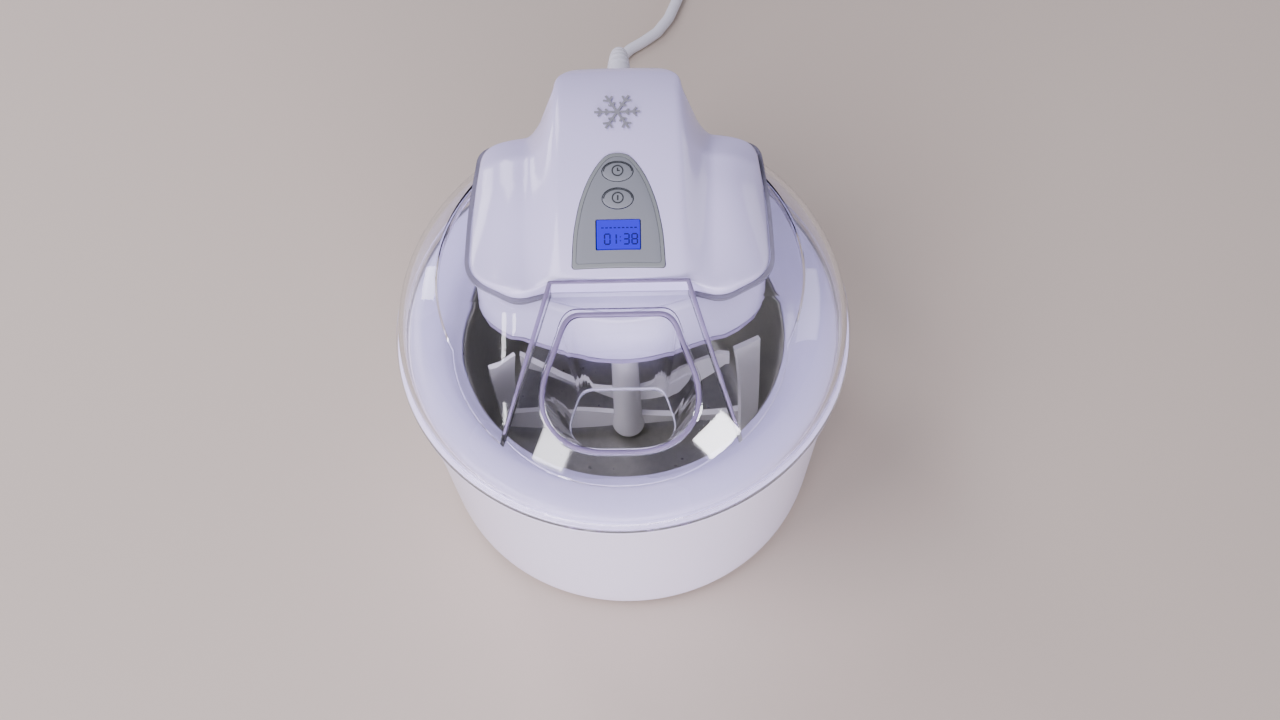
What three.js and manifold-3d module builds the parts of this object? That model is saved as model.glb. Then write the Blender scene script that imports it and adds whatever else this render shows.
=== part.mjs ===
// Ice cream maker: a freezer bowl in a white bucket, under a clear domed lid that carries the motor head.
// Units are millimetres and +Z is up. The origin is on the bowl's axis at table level.
// The front, with the filling chute, faces -Y. The mains cord leaves the back, towards +Y.
import * as THREE from 'three';
import { mergeVertices } from 'three/addons/utils/BufferGeometryUtils.js';
import Module from 'manifold-3d';

const wasm = await Module();
wasm.setup();

// ---------------------------------------------------------------- driving dimensions

const RING_SIDES = 40;              // facets round the large turned pieces
const SMALL_SIDES = 12;             // facets round pins, screws and bosses
const GAP = 0.3;                    // clearance between pieces that touch

const BUCKET = { floor: 3, bottomRadius: 98.5, topRadius: 111.3, rimRadius: 114.5, rimZ: 122, wall: 2.6 };
const FOOT = { radius: 7, height: 2.7, circle: 80 };
const BOWL = { bottomZ: 12, rimZ: 128.3, rimRadius: 109.6, mouthRadius: 82, linerTop: 116.2, linerFloor: 20 };
const LINER = { topRadius: 79.6, bottomRadius: 73.5, wall: 1.6 };

const LID_WALL = 2.3;
const FLANGE = { radius: 115, bottom: 122.4, top: 126.4 };
const SHOULDER = { centreRadius: 68, centreZ: 133, radius: 45 };    // round shoulder of the dome
const COLUMN_RADIUS = 90.5;                                         // where the shoulder meets the deck parts
const TOP_Z = 178;                                                  // flat top of the lid, under the head
const DECK = { rearY: -16, lipY: -106, lipZ: 156 };                 // clear deck that slopes to the front lip
const RAMP = { rearY: -12, rearZ: 190, rearHalf: 34, frontY: -112, frontHalf: 66.4, slope: 34 / 93 };
const COLLAR = { bottom: 134, top: 179.4, wall: 2.5 };              // clear band round the motor head
const APERTURE = { half: 36, frontY: 14, rearY: 80 };

const CHUTE = { throatZ: 132, centreY: -57, wall: 2.2, rearY: 41, frontY: 66 };
// Share that each side of the chute adds to its width or depth per mm of height.
const CHUTE_GROWTH = { sideFront: 0.0116, sideRear: 0.0056, front: 0.029, rear: 0.0132 };
const CHUTE_CORNERS = [[20, -41, 6], [27, -65, 9], [16, -74.5, 12]];

// Head outline, right-hand side from front to back: x, y and the length of the rounding at the corner.
const HEAD_CORNERS = [
  [34, -12, 3], [50, -16.5, 7], [73.8, -3, 12], [72.6, 37, 14],
  [68.5, 71, 8], [44, 77, 6], [32.5, 87, 9], [31.3, 101, 6],
  [24, 110, 8],
];
const HEAD_BASE = 178.3;
const HEAD_WALL = 2.5;
const CROWN = { peakZ: 211.5, peakY: 72, frontY: -12, rearY: 110, drop: 21.5 };
const RIDGE = { half: 33, flat: 29.5, foot: 47, camber: 2 };
const WING = { edgeZ: 179.8, edgeX: 73, frontRise: 5, rearRise: 14 };

// Motor unit under the head, outlined the same way.
const TUB_CORNERS = [
  [33, -25.5, 16], [60, -13.5, 14], [72, 0, 9], [71.2, 37, 12],
  [66.5, 63, 6], [42, 72, 4], [33, 80, 4],
];
const TUB = { bottom: 146, top: 175.2, wall: 2.2, lean: 0.3, frontY: -32 };
const SEAL = { height: 2.2, width: 2.4 };
const HOUSING_SCREWS = [[46, 8], [-46, 8], [46, 54], [-46, 54]];
const PLATE_SCREWS = [[31, 18], [-31, 18], [31, 68], [-31, 68]];
const PLATE = { bottom: 170, top: 172.5, half: 37, frontY: 10, rearY: 75 };

// Gear train: output gear on the bowl's axis, a two-step gear, and the motor pinion.
const MODULE_SIZE = 1.4;
const OUTPUT_TEETH = 30;
const STEP_SMALL_TEETH = 10;
const STEP_BIG_TEETH = 31;
const PINION_TEETH = 9;
const STEP_Y = MODULE_SIZE * (OUTPUT_TEETH + STEP_SMALL_TEETH) / 2;
const MOTOR_Y = STEP_Y + MODULE_SIZE * (STEP_BIG_TEETH + PINION_TEETH) / 2;
const GEAR_Z = { output: 152, outputTop: 158, small: 151.5, big: 161, bigTop: 167, pinion: 160,
  pinionTop: 168.5 };
const MOTOR = { radius: 20, bottom: 172.8, top: 191.5, shaft: 2.4 };
const OUTPUT_SHAFT = { radius: 4, hexRadius: 4.2, bottom: 131, hexTop: 141, top: 160 };

// Control panel on the ridge. Its arch runs from the front edge back to the apex.
const PANEL = { frontY: -7, apexY: 50, half: 22.6, border: 1.7 };
const LCD = { y: 8, width: 21.4, depth: 14 };
const BUTTON = { width: 15.6, depth: 10.8, timerY: 38.5, powerY: 25 };
const BOARD = { frontY: -4, rearY: 46, below: 10, thickness: 1.6, width: 40 };
const EMBLEM = { y: 71, arm: 11.5, thickness: 0.5 };

const PADDLE = { radius: 71, bottom: 24.5, columnRadius: 7.5, top: 142.5 };

// Cord, in the order it runs from the head to its plug.
const CORD = { radius: 3.3, exitZ: 186 };
const RELIEF = { bendY: 113, bendRadius: 27, bendAngle: 0.85, wallRadius: 6.4, tipRadius: 4.1 };
const CORD_ROUTE = [
  [0, 133.75, 176.3], [0, 140.1, 168.1], [-0.1, 144.4, 157], [-0.4, 146.3, 140], [-0.9, 146.6, 118],
  [-1.6, 146.6, 96], [-2.6, 147, 74], [-3.9, 148.6, 53], [-5.4, 152.6, 34.5], [-6.9, 160.4, 18.5],
  [-8.3, 172.5, 8], [-9.6, 187.5, 4], [-10.8, 206, 3.4], [-11.6, 224, 3.4], [-11.6, 240, 3.4],
  [-10, 253, 3.4], [-5.6, 263.5, 3.4], [1.4, 271, 3.4], [9.6, 276.6, 3.4], [17.8, 283.4, 3.4],
  [24.9, 294, 3.4], [30.4, 308.4, 3.4], [34, 325, 3.7], [35.7, 347.3, 4.5],
];
const COIL = { x: -5, y: 372, inner: 30.9, outer: 44.4, bottom: 1.2, top: 13.9 };
const TAIL_ROUTE = [[-34, 412.3, 8.4], [-43, 412.4, 8.2], [-52, 412.2, 8.1], [-60, 412, 8.1]];
const PLUG = { y: 412, z: 8.1, coneStart: -60.3, bodyStart: -78, bodyEnd: -104, half: 8, blade: 16 };

// ---------------------------------------------------------------- colours

const WHITE = [0xeeedf3, 0.25, 0];
const BOWL_WHITE = [0xf0f0f4, 0.35, 0];
const CLEAR = [0xdcd8ea, 0.05, 0];
const RUBBER = [0x8d8c94, 0.8, 0];
const PANEL_GREY = [0xa9afb3, 0.4, 0.3];
const BORDER_GREY = [0x868c8d, 0.45, 0.2];
const ALUMINIUM = [0xc9ccd0, 0.3, 1];
const STEEL = [0xb5b7ba, 0.3, 1];
const GEL = [0x9fc6dc, 0.5, 0];
const ACETAL = [0xf3efe2, 0.4, 0];
const BRASS = [0xb79a5a, 0.4, 1];
const BOARD_GREEN = [0x2f6b45, 0.6, 0];
const DISPLAY_BLUE = [0x3a4dff, 0.3, 0];
const BLACK = [0x26262a, 0.5, 0];

// ---------------------------------------------------------------- solid helpers

const object = new THREE.Group();

/** Weld the vertices, drop collapsed triangles and turn every face outward. */
function outward(geometry) {
  const bare = geometry.clone();
  for (const name of Object.keys(bare.attributes)) {
    if (name !== 'position') bare.deleteAttribute(name);
  }
  const welded = mergeVertices(bare, 1e-4);
  const position = welded.attributes.position;
  const faces = [];
  let volume = 0;
  const [a, b, c] = [new THREE.Vector3(), new THREE.Vector3(), new THREE.Vector3()];
  for (let i = 0; i < welded.index.count; i += 3) {
    const face = [0, 1, 2].map((k) => welded.index.getX(i + k));
    if (new Set(face).size < 3) continue;
    faces.push(face);
    a.fromBufferAttribute(position, face[0]);
    b.fromBufferAttribute(position, face[1]);
    c.fromBufferAttribute(position, face[2]);
    volume += a.dot(b.cross(c));
  }
  if (volume < 0) faces.forEach((face) => face.reverse());
  welded.setIndex(faces.flat());
  return welded;
}

function toSolid(geometry) {
  const clean = outward(geometry);
  const vertProperties = new Float32Array(clean.attributes.position.array);
  const triVerts = new Uint32Array(clean.index.array);
  return new wasm.Manifold(new wasm.Mesh({ numProp: 3, vertProperties, triVerts }));
}

function toGeometry(solid) {
  const mesh = solid.getMesh();
  const geometry = new THREE.BufferGeometry();
  geometry.setAttribute('position', new THREE.BufferAttribute(mesh.vertProperties, 3));
  geometry.setIndex(new THREE.BufferAttribute(mesh.triVerts, 1));
  return geometry;
}

/** Add one named piece to the object, or to a group inside it. */
function piece(name, shape, [color, roughness, metalness], parent = object) {
  const geometry = shape.isBufferGeometry ? outward(shape) : toGeometry(shape);
  const material = new THREE.MeshStandardMaterial({ color, roughness, metalness });
  const mesh = new THREE.Mesh(geometry, material);
  mesh.name = name;
  parent.add(mesh);
  return mesh;
}

/** Turn a closed profile of [radius, z] points about the Z axis. */
function turned(profile, sides = RING_SIDES, closed = false) {
  const points = profile.map(([r, z]) => new THREE.Vector2(r, z));
  if (closed) points.push(points[0].clone());
  return new THREE.LatheGeometry(points, sides).rotateX(Math.PI / 2);
}

function cylinder(radius, bottom, top, x = 0, y = 0, sides = SMALL_SIDES) {
  return turned([[0, bottom], [radius, bottom], [radius, top], [0, top]], sides).translate(x, y, 0);
}

function block(width, depth, height, x, y, z) {
  return new THREE.BoxGeometry(width, depth, height).translate(x, y, z);
}

/** A right-hand list of corners, mirrored to a whole outline that runs anticlockwise from the front. */
function mirrored(corners) {
  const left = corners.map(([x, y, round]) => [-x, y, round]).reverse();
  return [...corners, ...left];
}

/** Move every edge of an outline outward by a distance, or inward where it is negative. */
function offset(corners, distance) {
  return corners.map(([x, y, round], i) => {
    const before = corners[(i + corners.length - 1) % corners.length];
    const after = corners[(i + 1) % corners.length];
    const n1 = new THREE.Vector2(y - before[1], before[0] - x).normalize();
    const n2 = new THREE.Vector2(after[1] - y, x - after[0]).normalize();
    const step = distance / (1 + n1.dot(n2));
    return [x + (n1.x + n2.x) * step, y + (n1.y + n2.y) * step, round];
  });
}

/** A shape through the corners, each one rounded by its own length. */
function rounded(corners) {
  const shape = new THREE.Shape();
  corners.forEach(([x, y, round], i) => {
    const corner = new THREE.Vector2(x, y);
    const before = corners[(i + corners.length - 1) % corners.length];
    const after = corners[(i + 1) % corners.length];
    const toBefore = new THREE.Vector2(before[0], before[1]).sub(corner);
    const toAfter = new THREE.Vector2(after[0], after[1]).sub(corner);
    const start = corner.clone().add(toBefore.setLength(Math.min(round, toBefore.length() * 0.48)));
    const end = corner.clone().add(toAfter.setLength(Math.min(round, toAfter.length() * 0.48)));
    if (i === 0) shape.moveTo(start.x, start.y);
    else shape.lineTo(start.x, start.y);
    shape.quadraticCurveTo(x, y, end.x, end.y);
  });
  shape.closePath();
  return shape;
}

function prism(shape, bottom, top, curveSegments = 3) {
  const settings = { depth: top - bottom, bevelEnabled: false, curveSegments };
  return new THREE.ExtrudeGeometry(shape, settings).translate(0, 0, bottom);
}

/** Extrude a side view, given as [y, z] points, across the width of the object. */
function sideView(points, half) {
  const shape = new THREE.Shape(points.map(([y, z]) => new THREE.Vector2(y, z)));
  const across = new THREE.ExtrudeGeometry(shape, { depth: 2 * half, bevelEnabled: false });
  const turn = new THREE.Matrix4().makeBasis(
    new THREE.Vector3(0, 1, 0), new THREE.Vector3(0, 0, 1), new THREE.Vector3(1, 0, 0));
  return across.applyMatrix4(turn).translate(-half, 0, 0);
}

/** A block whose top and bottom faces follow two height functions of x and y. */
function heightBlock(xs, ys, low, high) {
  const geometry = new THREE.BoxGeometry(1, 1, 1, xs.length - 1, ys.length - 1, 1);
  const position = geometry.attributes.position;
  for (let i = 0; i < position.count; i++) {
    const x = xs[Math.round((position.getX(i) + 0.5) * (xs.length - 1))];
    const y = ys[Math.round((position.getY(i) + 0.5) * (ys.length - 1))];
    position.setXYZ(i, x, y, position.getZ(i) > 0 ? high(x, y) : low(x, y));
  }
  return geometry;
}

function steps(from, to, count) {
  return Array.from({ length: count + 1 }, (_, i) => from + (to - from) * i / count);
}

/** A solid round sleeve through stations of [y, z, radius, pitch], where the pitch turns its axis down. */
function bentSleeve(stations, sides) {
  const points = [];
  const faces = [];
  const around = steps(0, 2 * Math.PI, sides).slice(0, sides);
  for (const [y, z, radius, pitch] of stations) {
    for (const angle of around) {
      const rise = radius * Math.sin(angle);
      points.push(radius * Math.cos(angle), y + rise * Math.sin(pitch), z + rise * Math.cos(pitch));
    }
  }
  const last = (stations.length - 1) * sides;
  for (let k = 0; k < sides; k++) {
    const next = (k + 1) % sides;
    for (let row = 0; row < last; row += sides) {
      faces.push(row + k, row + next, row + sides + next, row + k, row + sides + next, row + sides + k);
    }
    if (k > 0 && k < sides - 1) faces.push(0, k + 1, k, last, last + k, last + k + 1);
  }
  const geometry = new THREE.BufferGeometry();
  geometry.setAttribute('position', new THREE.Float32BufferAttribute(points, 3));
  geometry.setIndex(faces);
  return geometry;
}

function tube(route, radius, sides, stepCount) {
  const path = new THREE.CatmullRomCurve3(route.map((point) => new THREE.Vector3(...point)));
  const section = new THREE.Shape();
  for (let i = 0; i < sides; i++) {
    const angle = 2 * Math.PI * i / sides;
    if (i === 0) section.moveTo(radius, 0);
    else section.lineTo(radius * Math.cos(angle), radius * Math.sin(angle));
  }
  return new THREE.ExtrudeGeometry(section, { steps: stepCount, extrudePath: path });
}

// ---------------------------------------------------------------- head surface

/** Height of the ridge's centre line: a long rise from the front, then a round fall at the back. */
function crownZ(y) {
  if (y < CROWN.peakY) {
    const share = (CROWN.peakY - y) / (CROWN.peakY - CROWN.frontY);
    return CROWN.peakZ - CROWN.drop * share ** 1.85;
  }
  const share = Math.min(1, (y - CROWN.peakY) / (CROWN.rearY - CROWN.peakY));
  return CROWN.peakZ - CROWN.drop * (1 - (1 - share ** 2.3) ** (1 / 2.3));
}

function crownAngle(y) {
  return Math.atan2(crownZ(y + 0.5) - crownZ(y - 0.5), 1);
}

function ridgeZ(x, y) {
  return crownZ(y) - RIDGE.camber * (x / RIDGE.half) ** 2;
}

/** The wings rise gently from their edge to the foot of the ridge, more so towards the back. */
function wingZ(x, y) {
  const inward = THREE.MathUtils.clamp((WING.edgeX - Math.abs(x)) / (WING.edgeX - RIDGE.foot), 0, 1);
  const rise = THREE.MathUtils.lerp(WING.frontRise, WING.rearRise, THREE.MathUtils.smoothstep(y, -16, 45));
  const rearFade = THREE.MathUtils.clamp((80 - y) / 22, 0, 1) ** 0.6;
  return WING.edgeZ + rise * (1 - (1 - inward) ** 2.2) * rearFade;
}

/** Whole top surface: the ridge runs into the wings through a round shoulder and a hollow fillet. */
function headZ(x, y) {
  const blend = THREE.MathUtils.smoothstep(Math.abs(x), RIDGE.flat, RIDGE.foot);
  return THREE.MathUtils.lerp(ridgeZ(x, y), Math.min(wingZ(x, y), ridgeZ(x, y)), blend);
}

// ---------------------------------------------------------------- bucket and feet

function addBucket() {
  const b = BUCKET;
  const ledge = b.rimZ - 6;
  piece('outer_bucket', turned([
    [0, b.floor], [92, b.floor], [97, 5], [b.bottomRadius, 10], [b.topRadius - 1.6, ledge - 6],
    [b.topRadius, ledge - 5.4], [b.topRadius + 0.2, ledge], [b.rimRadius, ledge + 2.6], [b.rimRadius, b.rimZ],
    [106.4, b.rimZ], [105.8, ledge], [b.bottomRadius - b.wall, 12], [92, 6], [0, 6],
  ]), WHITE);
  for (let i = 0; i < 4; i++) {
    const angle = Math.PI / 4 + i * Math.PI / 2;
    const profile = [
      [0, 0], [FOOT.radius - 0.8, 0], [FOOT.radius, 0.8], [FOOT.radius, FOOT.height], [0, FOOT.height]];
    const foot = piece(`rubber_foot_${i + 1}`, turned(profile, SMALL_SIDES), RUBBER);
    foot.position.set(FOOT.circle * Math.cos(angle), FOOT.circle * Math.sin(angle), 0);
  }
}

// ---------------------------------------------------------------- freezer bowl

function addFreezerBowl() {
  const rim = BOWL.rimRadius;
  piece('freezer_bowl_shell', turned([
    [0, BOWL.bottomZ], [84, BOWL.bottomZ], [90, 16], [101.2, 116], [102.6, BUCKET.rimZ + GAP],
    [rim - 0.5, BUCKET.rimZ + GAP], [rim, 125], [107, 127.8], [101, BOWL.rimZ], [94, 127.4], [88, 123.6],
    [BOWL.mouthRadius, 118.8], [BOWL.mouthRadius, 116.5], [89, 116.5], [98.6, 113], [87.6, 18.5], [82, 14.5],
    [0, 14.5],
  ]), BOWL_WHITE);
  const { topRadius, bottomRadius, wall } = LINER;
  piece('freezer_bowl_liner', turned([
    [0, BOWL.linerFloor - wall], [66, BOWL.linerFloor - wall], [bottomRadius + wall, 27],
    [topRadius + wall, 112.6], [88, 113.8], [88, BOWL.linerTop], [81.2, BOWL.linerTop], [topRadius, 111.5],
    [bottomRadius, 28], [65, BOWL.linerFloor], [0, BOWL.linerFloor],
  ]), ALUMINIUM);
  piece('coolant_gel', turned([
    [0, 15.2], [81, 15.2], [86, 20], [97.2, 111.5], [topRadius + wall + 1, 111.5],
    [bottomRadius + wall + 1, 26.5], [66, BOWL.linerFloor - wall - 0.7], [0, BOWL.linerFloor - wall - 0.7],
  ], RING_SIDES / 2), GEL);
}

// ---------------------------------------------------------------- mixing paddle

function addPaddle() {
  const { radius, bottom, columnRadius, top } = PADDLE;
  const column = turned([
    [0, bottom - 1.5], [columnRadius + 1.5, bottom - 1.5], [columnRadius, bottom + 14], [columnRadius - 0.5, 118],
    [columnRadius + 1.3, 124], [columnRadius + 1.3, top], [0, top],
  ], 16);
  let solid = toSolid(column);
  for (const side of [1, -1]) {
    const lean = side * 0.32;
    const floorBar = block(radius - 4, 3, 11, side * (radius - 4) / 2, 0, bottom + 5.5);
    const scraper = block(13, 3.2, 84, 0, 0, 42).rotateX(-lean * 0.35).rotateZ(lean)
      .translate(side * (radius - 9.5), 0, bottom);
    const brace = block(74, 3, 10, 0, 0, 0).rotateY(side * 0.42).translate(side * 33, 0, 91);
    for (const bar of [floorBar, scraper, brace]) solid = solid.add(toSolid(bar));
  }
  const sweep = toSolid(turned([[0, 20], [66, 20], [71.5, 27], [71.5, 130], [20, 150], [0, 150]], 36));
  solid = solid.intersect(sweep);
  const socket = toSolid(cylinder(5, 126, top + 1, 0, 0, 6));
  piece('mixing_paddle', solid.subtract(socket), WHITE);
}

// ---------------------------------------------------------------- clear lid

/** The dome's shoulder carried straight up as a column, moved inward by the wall for the inside. */
function domeColumn(inset, bottomProfile) {
  const { centreRadius, centreZ, radius } = SHOULDER;
  const endAngle = Math.acos((COLUMN_RADIUS - centreRadius) / radius);
  const arc = steps(-0.13, endAngle, 6).map((angle) => [
    centreRadius + (radius - inset) * Math.cos(angle), centreZ + (radius - inset) * Math.sin(angle)]);
  const head = arc[arc.length - 1][0];
  return toSolid(turned([...bottomProfile, ...arc, [head, 225], [0, 225]]));
}

function deckZ(y) {
  const slope = (TOP_Z - DECK.lipZ) / (DECK.rearY - DECK.lipY);
  return DECK.lipZ + slope * (y - DECK.lipY);
}

/** Everything under the sloping deck and the flat top, lowered by a drop. */
function underDeck(drop, bottom) {
  return toSolid(sideView([
    [-125, bottom], [125, bottom], [125, TOP_Z - drop], [DECK.rearY, TOP_Z - drop], [-125, deckZ(-125) - drop],
  ], 125));
}

function underRamp(drop, bottom, rearY) {
  const frontY = -125;
  return toSolid(sideView([
    [frontY, bottom], [rearY, bottom], [rearY, RAMP.rearZ - drop],
    [frontY, RAMP.rearZ - drop + RAMP.slope * (frontY - RAMP.rearY)],
  ], 80));
}

function rampPlan(inset) {
  const corners = mirrored([[RAMP.frontHalf, RAMP.frontY, 0], [RAMP.rearHalf, RAMP.rearY, 0]]);
  return toSolid(prism(rounded(offset(corners, -inset)), 100, 225, 1));
}

/** A rounded chute that widens with height by its own amount on each side. */
function chutePrism(grow, bottom, top) {
  const shape = rounded(offset(mirrored([...CHUTE_CORNERS].reverse()), grow));
  const geometry = prism(shape, bottom, top, 3);
  const position = geometry.attributes.position;
  for (let i = 0; i < position.count; i++) {
    const rise = position.getZ(i) - CHUTE.throatZ;
    const dy = position.getY(i) - CHUTE.centreY;
    const growth = dy < 0 ? CHUTE_GROWTH.front : CHUTE_GROWTH.rear;
    const forward = THREE.MathUtils.smoothstep(-position.getY(i), CHUTE.rearY, CHUTE.frontY);
    const widening = THREE.MathUtils.lerp(CHUTE_GROWTH.sideRear, CHUTE_GROWTH.sideFront, forward);
    position.setX(i, position.getX(i) * (1 + widening * rise));
    position.setY(i, CHUTE.centreY + dy * (1 + growth * rise));
  }
  return toSolid(geometry);
}

function headPrism(grow, bottom, top) {
  return toSolid(prism(rounded(offset(mirrored(HEAD_CORNERS), grow)), bottom, top, 2));
}

function addLid() {
  const outerColumn = domeColumn(0, [
    [0, FLANGE.bottom], [FLANGE.radius, FLANGE.bottom], [FLANGE.radius, FLANGE.top], [113.2, FLANGE.top]]);
  const innerColumn = domeColumn(LID_WALL, [[0, 110], [110.1, 110]]);
  const outerRamp = underRamp(0, 130, RAMP.rearY).intersect(rampPlan(0)).intersect(outerColumn);
  const innerRamp = underRamp(LID_WALL + 0.2, 110, RAMP.rearY - LID_WALL).intersect(rampPlan(LID_WALL))
    .intersect(innerColumn);
  const outer = outerColumn.intersect(underDeck(0, 110)).add(outerRamp)
    .add(headPrism(COLLAR.wall, COLLAR.bottom, COLLAR.top));
  const inner = innerColumn.intersect(underDeck(COLLAR.wall, 100)).add(innerRamp)
    .add(headPrism(0, 100, TOP_Z - COLLAR.wall));
  const chuteBody = chutePrism(CHUTE.wall, CHUTE.throatZ, 200)
    .intersect(underRamp(0.02, 110, RAMP.rearY - 3));
  let lid = outer.subtract(inner).add(chuteBody);
  lid = lid.subtract(chutePrism(0, CHUTE.throatZ - 1, 205));
  lid = lid.subtract(headPrism(GAP, TOP_Z, TOP_Z + 20));
  const aperture = mirrored([[APERTURE.half, APERTURE.frontY, 6], [APERTURE.half, APERTURE.rearY, 6]]);
  lid = lid.subtract(toSolid(prism(rounded(aperture), 170, TOP_Z + 5, 3)));
  for (const [x, y] of HOUSING_SCREWS) lid = lid.subtract(toSolid(cylinder(2.3, 170, TOP_Z + 5, x, y, 8)));
  piece('clear_lid', lid, CLEAR);
}

// ---------------------------------------------------------------- motor head cover

const HEAD_XS = [-80, -73, -64, -55, -47, -42, -37, -32, -26, -10, 10, 26, 32, 37, 42, 47, 55, 64, 73, 80];
const HEAD_YS = [-20, -12, 6, 24, 42, 58, 66, 73, 80, 90, 99, 105, 108.5, 110, 114];

function panelCorners(inset) {
  const { frontY, apexY, half } = PANEL;
  const arch = [];
  for (const share of [0.28, 0.52, 0.72, 0.87, 0.965]) {
    arch.push([half * (1 - share ** 2.1) ** 0.62, frontY + (apexY - frontY) * share, 5]);
  }
  return offset(mirrored([[half, frontY, 2], ...arch]), -inset);
}

/** A slab that follows the ridge between two distances from its surface, cut to an outline. */
function ridgeSlab(shape, low, high) {
  const slab = heightBlock([-27, 0, 27], steps(-12, 56, 7),
    (x, y) => ridgeZ(x, y) + low, (x, y) => ridgeZ(x, y) + high);
  return toSolid(slab).intersect(toSolid(prism(shape, 150, 240, 1)));
}

function buttonWell(y, margin) {
  const shape = new THREE.Shape();
  shape.absellipse(0, y, BUTTON.width / 2 + margin, BUTTON.depth / 2 + margin, 0, 2 * Math.PI);
  return toSolid(prism(shape, 180, 230, 7));
}

function lcdWell(margin) {
  return toSolid(block(LCD.width + 2 * margin, LCD.depth + 2 * margin, 60, 0, LCD.y, 200));
}

function addHeadCover() {
  const outside = toSolid(heightBlock(HEAD_XS, HEAD_YS, () => HEAD_BASE, headZ))
    .intersect(headPrism(0, 170, 225));
  const insideYs = [-20, -12, 4, 20, 36, 52, 67, 80, 98, 105, 112];
  const insideXs = [-80, -60, -46, -36, -28, 28, 36, 46, 60, 80];
  const inside = toSolid(heightBlock(insideXs, insideYs, () => 170,
    (x, y) => Math.max(HEAD_BASE - 4, headZ(x, Math.min(y + 1.5, 108)) - HEAD_WALL - 0.4)))
    .intersect(headPrism(-HEAD_WALL, 160, 225));
  let cover = outside.subtract(inside);
  for (const [x, y] of HOUSING_SCREWS) {
    const boss = toSolid(cylinder(4.6, HEAD_BASE, headZ(x, y) - 1.5, x, y));
    cover = cover.add(boss).subtract(toSolid(cylinder(2.05, 175, 184.4, x, y, 8)));
  }
  const recess = ridgeSlab(rounded(panelCorners(-GAP)), -1.3, 6);
  cover = cover.subtract(recess).subtract(lcdWell(1.5));
  cover = cover.subtract(buttonWell(BUTTON.timerY, 0.8)).subtract(buttonWell(BUTTON.powerY, 0.8));
  const cordHole = cylinder(5, 100, 116, 0, 0).rotateX(-Math.PI / 2).translate(0, 0, CORD.exitZ);
  piece('motor_head_cover', cover.subtract(toSolid(cordHole)), WHITE);
}

// ---------------------------------------------------------------- control panel

function addControlPanel() {
  const face = ridgeSlab(rounded(panelCorners(PANEL.border + GAP)), -1, 0.4)
    .subtract(lcdWell(GAP)).subtract(buttonWell(BUTTON.timerY, GAP)).subtract(buttonWell(BUTTON.powerY, GAP));
  piece('control_panel_plate', face, PANEL_GREY);
  const border = ridgeSlab(rounded(panelCorners(0)), -1, 0.7)
    .subtract(ridgeSlab(rounded(panelCorners(PANEL.border)), -3, 3));
  piece('panel_bezel', border, BORDER_GREY);

  const window = new THREE.Group();
  window.position.set(0, LCD.y, crownZ(LCD.y));
  window.rotation.x = crownAngle(LCD.y);
  object.add(window);
  piece('lcd_window', block(LCD.width - 0.6, LCD.depth / Math.cos(window.rotation.x) - 0.9, 1.1, 0, 0, -0.3),
    CLEAR, window);
  piece('lcd_module', block(27, 18.5, 3, 0, 0, -6.6), DISPLAY_BLUE, window);

  for (const [name, y] of [['timer', BUTTON.timerY], ['power', BUTTON.powerY]]) {
    const place = new THREE.Group();
    place.position.set(0, y, crownZ(y));
    place.rotation.x = crownAngle(y);
    object.add(place);
    const cap = turned([[0, -3], [7.4, -3], [7.5, -0.4], [7, 0.4], [4, 0.75], [0, 0.8]], 20)
      .scale(1, (BUTTON.depth - 0.6) / BUTTON.width, 1);
    const stem = toSolid(cylinder(2.4, -5, -1, 0, 0, 8));
    piece(`${name}_button`, toSolid(cap).add(stem), PANEL_GREY, place);
  }
}

function addControlBoard() {
  const { frontY, rearY, below, thickness, width } = BOARD;
  const board = new THREE.Group();
  const midY = (frontY + rearY) / 2;
  board.position.set(0, midY, (crownZ(frontY) + crownZ(rearY)) / 2 - below);
  board.rotation.x = Math.atan2(crownZ(rearY) - crownZ(frontY), rearY - frontY);
  object.add(board);
  const length = (rearY - frontY) / Math.cos(board.rotation.x);
  piece('control_board', block(width, length, thickness, 0, 0, -thickness / 2), BOARD_GREEN, board);
  for (const [name, y] of [['timer', BUTTON.timerY], ['power', BUTTON.powerY]]) {
    const along = (y - midY) / Math.cos(board.rotation.x) + 3;
    const body = toSolid(block(6, 6, 3.4, 0, along, 2)).add(toSolid(cylinder(1.7, 3, 4.2, 0, along, 8)));
    piece(`${name}_switch`, body, BLACK, board);
  }
  piece('buzzer', cylinder(4.5, GAP, 5.5, 14, 6, 16), BLACK, board);
}

function addEmblem() {
  let flake = toSolid(cylinder(2.2, 0, EMBLEM.thickness, 0, 0, 6));
  for (let i = 0; i < 6; i++) {
    const angle = i * Math.PI / 3;
    const arm = block(EMBLEM.arm, 1.2, EMBLEM.thickness, EMBLEM.arm / 2, 0, EMBLEM.thickness / 2);
    flake = flake.add(toSolid(arm.rotateZ(angle)));
  }
  piece('snowflake_emblem', flake, PANEL_GREY).position.set(0, EMBLEM.y, CROWN.peakZ + GAP);
}

// ---------------------------------------------------------------- motor unit under the head

/** The tub's outline as a solid. Its front wall leans back as it rises. */
function tubPrism(inset, bottom, top) {
  const corners = [[0, TUB.frontY, 12], ...TUB_CORNERS, ...mirrored(TUB_CORNERS).slice(TUB_CORNERS.length)];
  const geometry = prism(rounded(offset(corners, -inset)), bottom, top, 2);
  const position = geometry.attributes.position;
  for (let i = 0; i < position.count; i++) {
    const y = position.getY(i);
    if (y < 0) position.setY(i, y + TUB.lean * (position.getZ(i) - TUB.bottom) * Math.min(1, -y / 12));
  }
  return toSolid(geometry);
}

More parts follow.
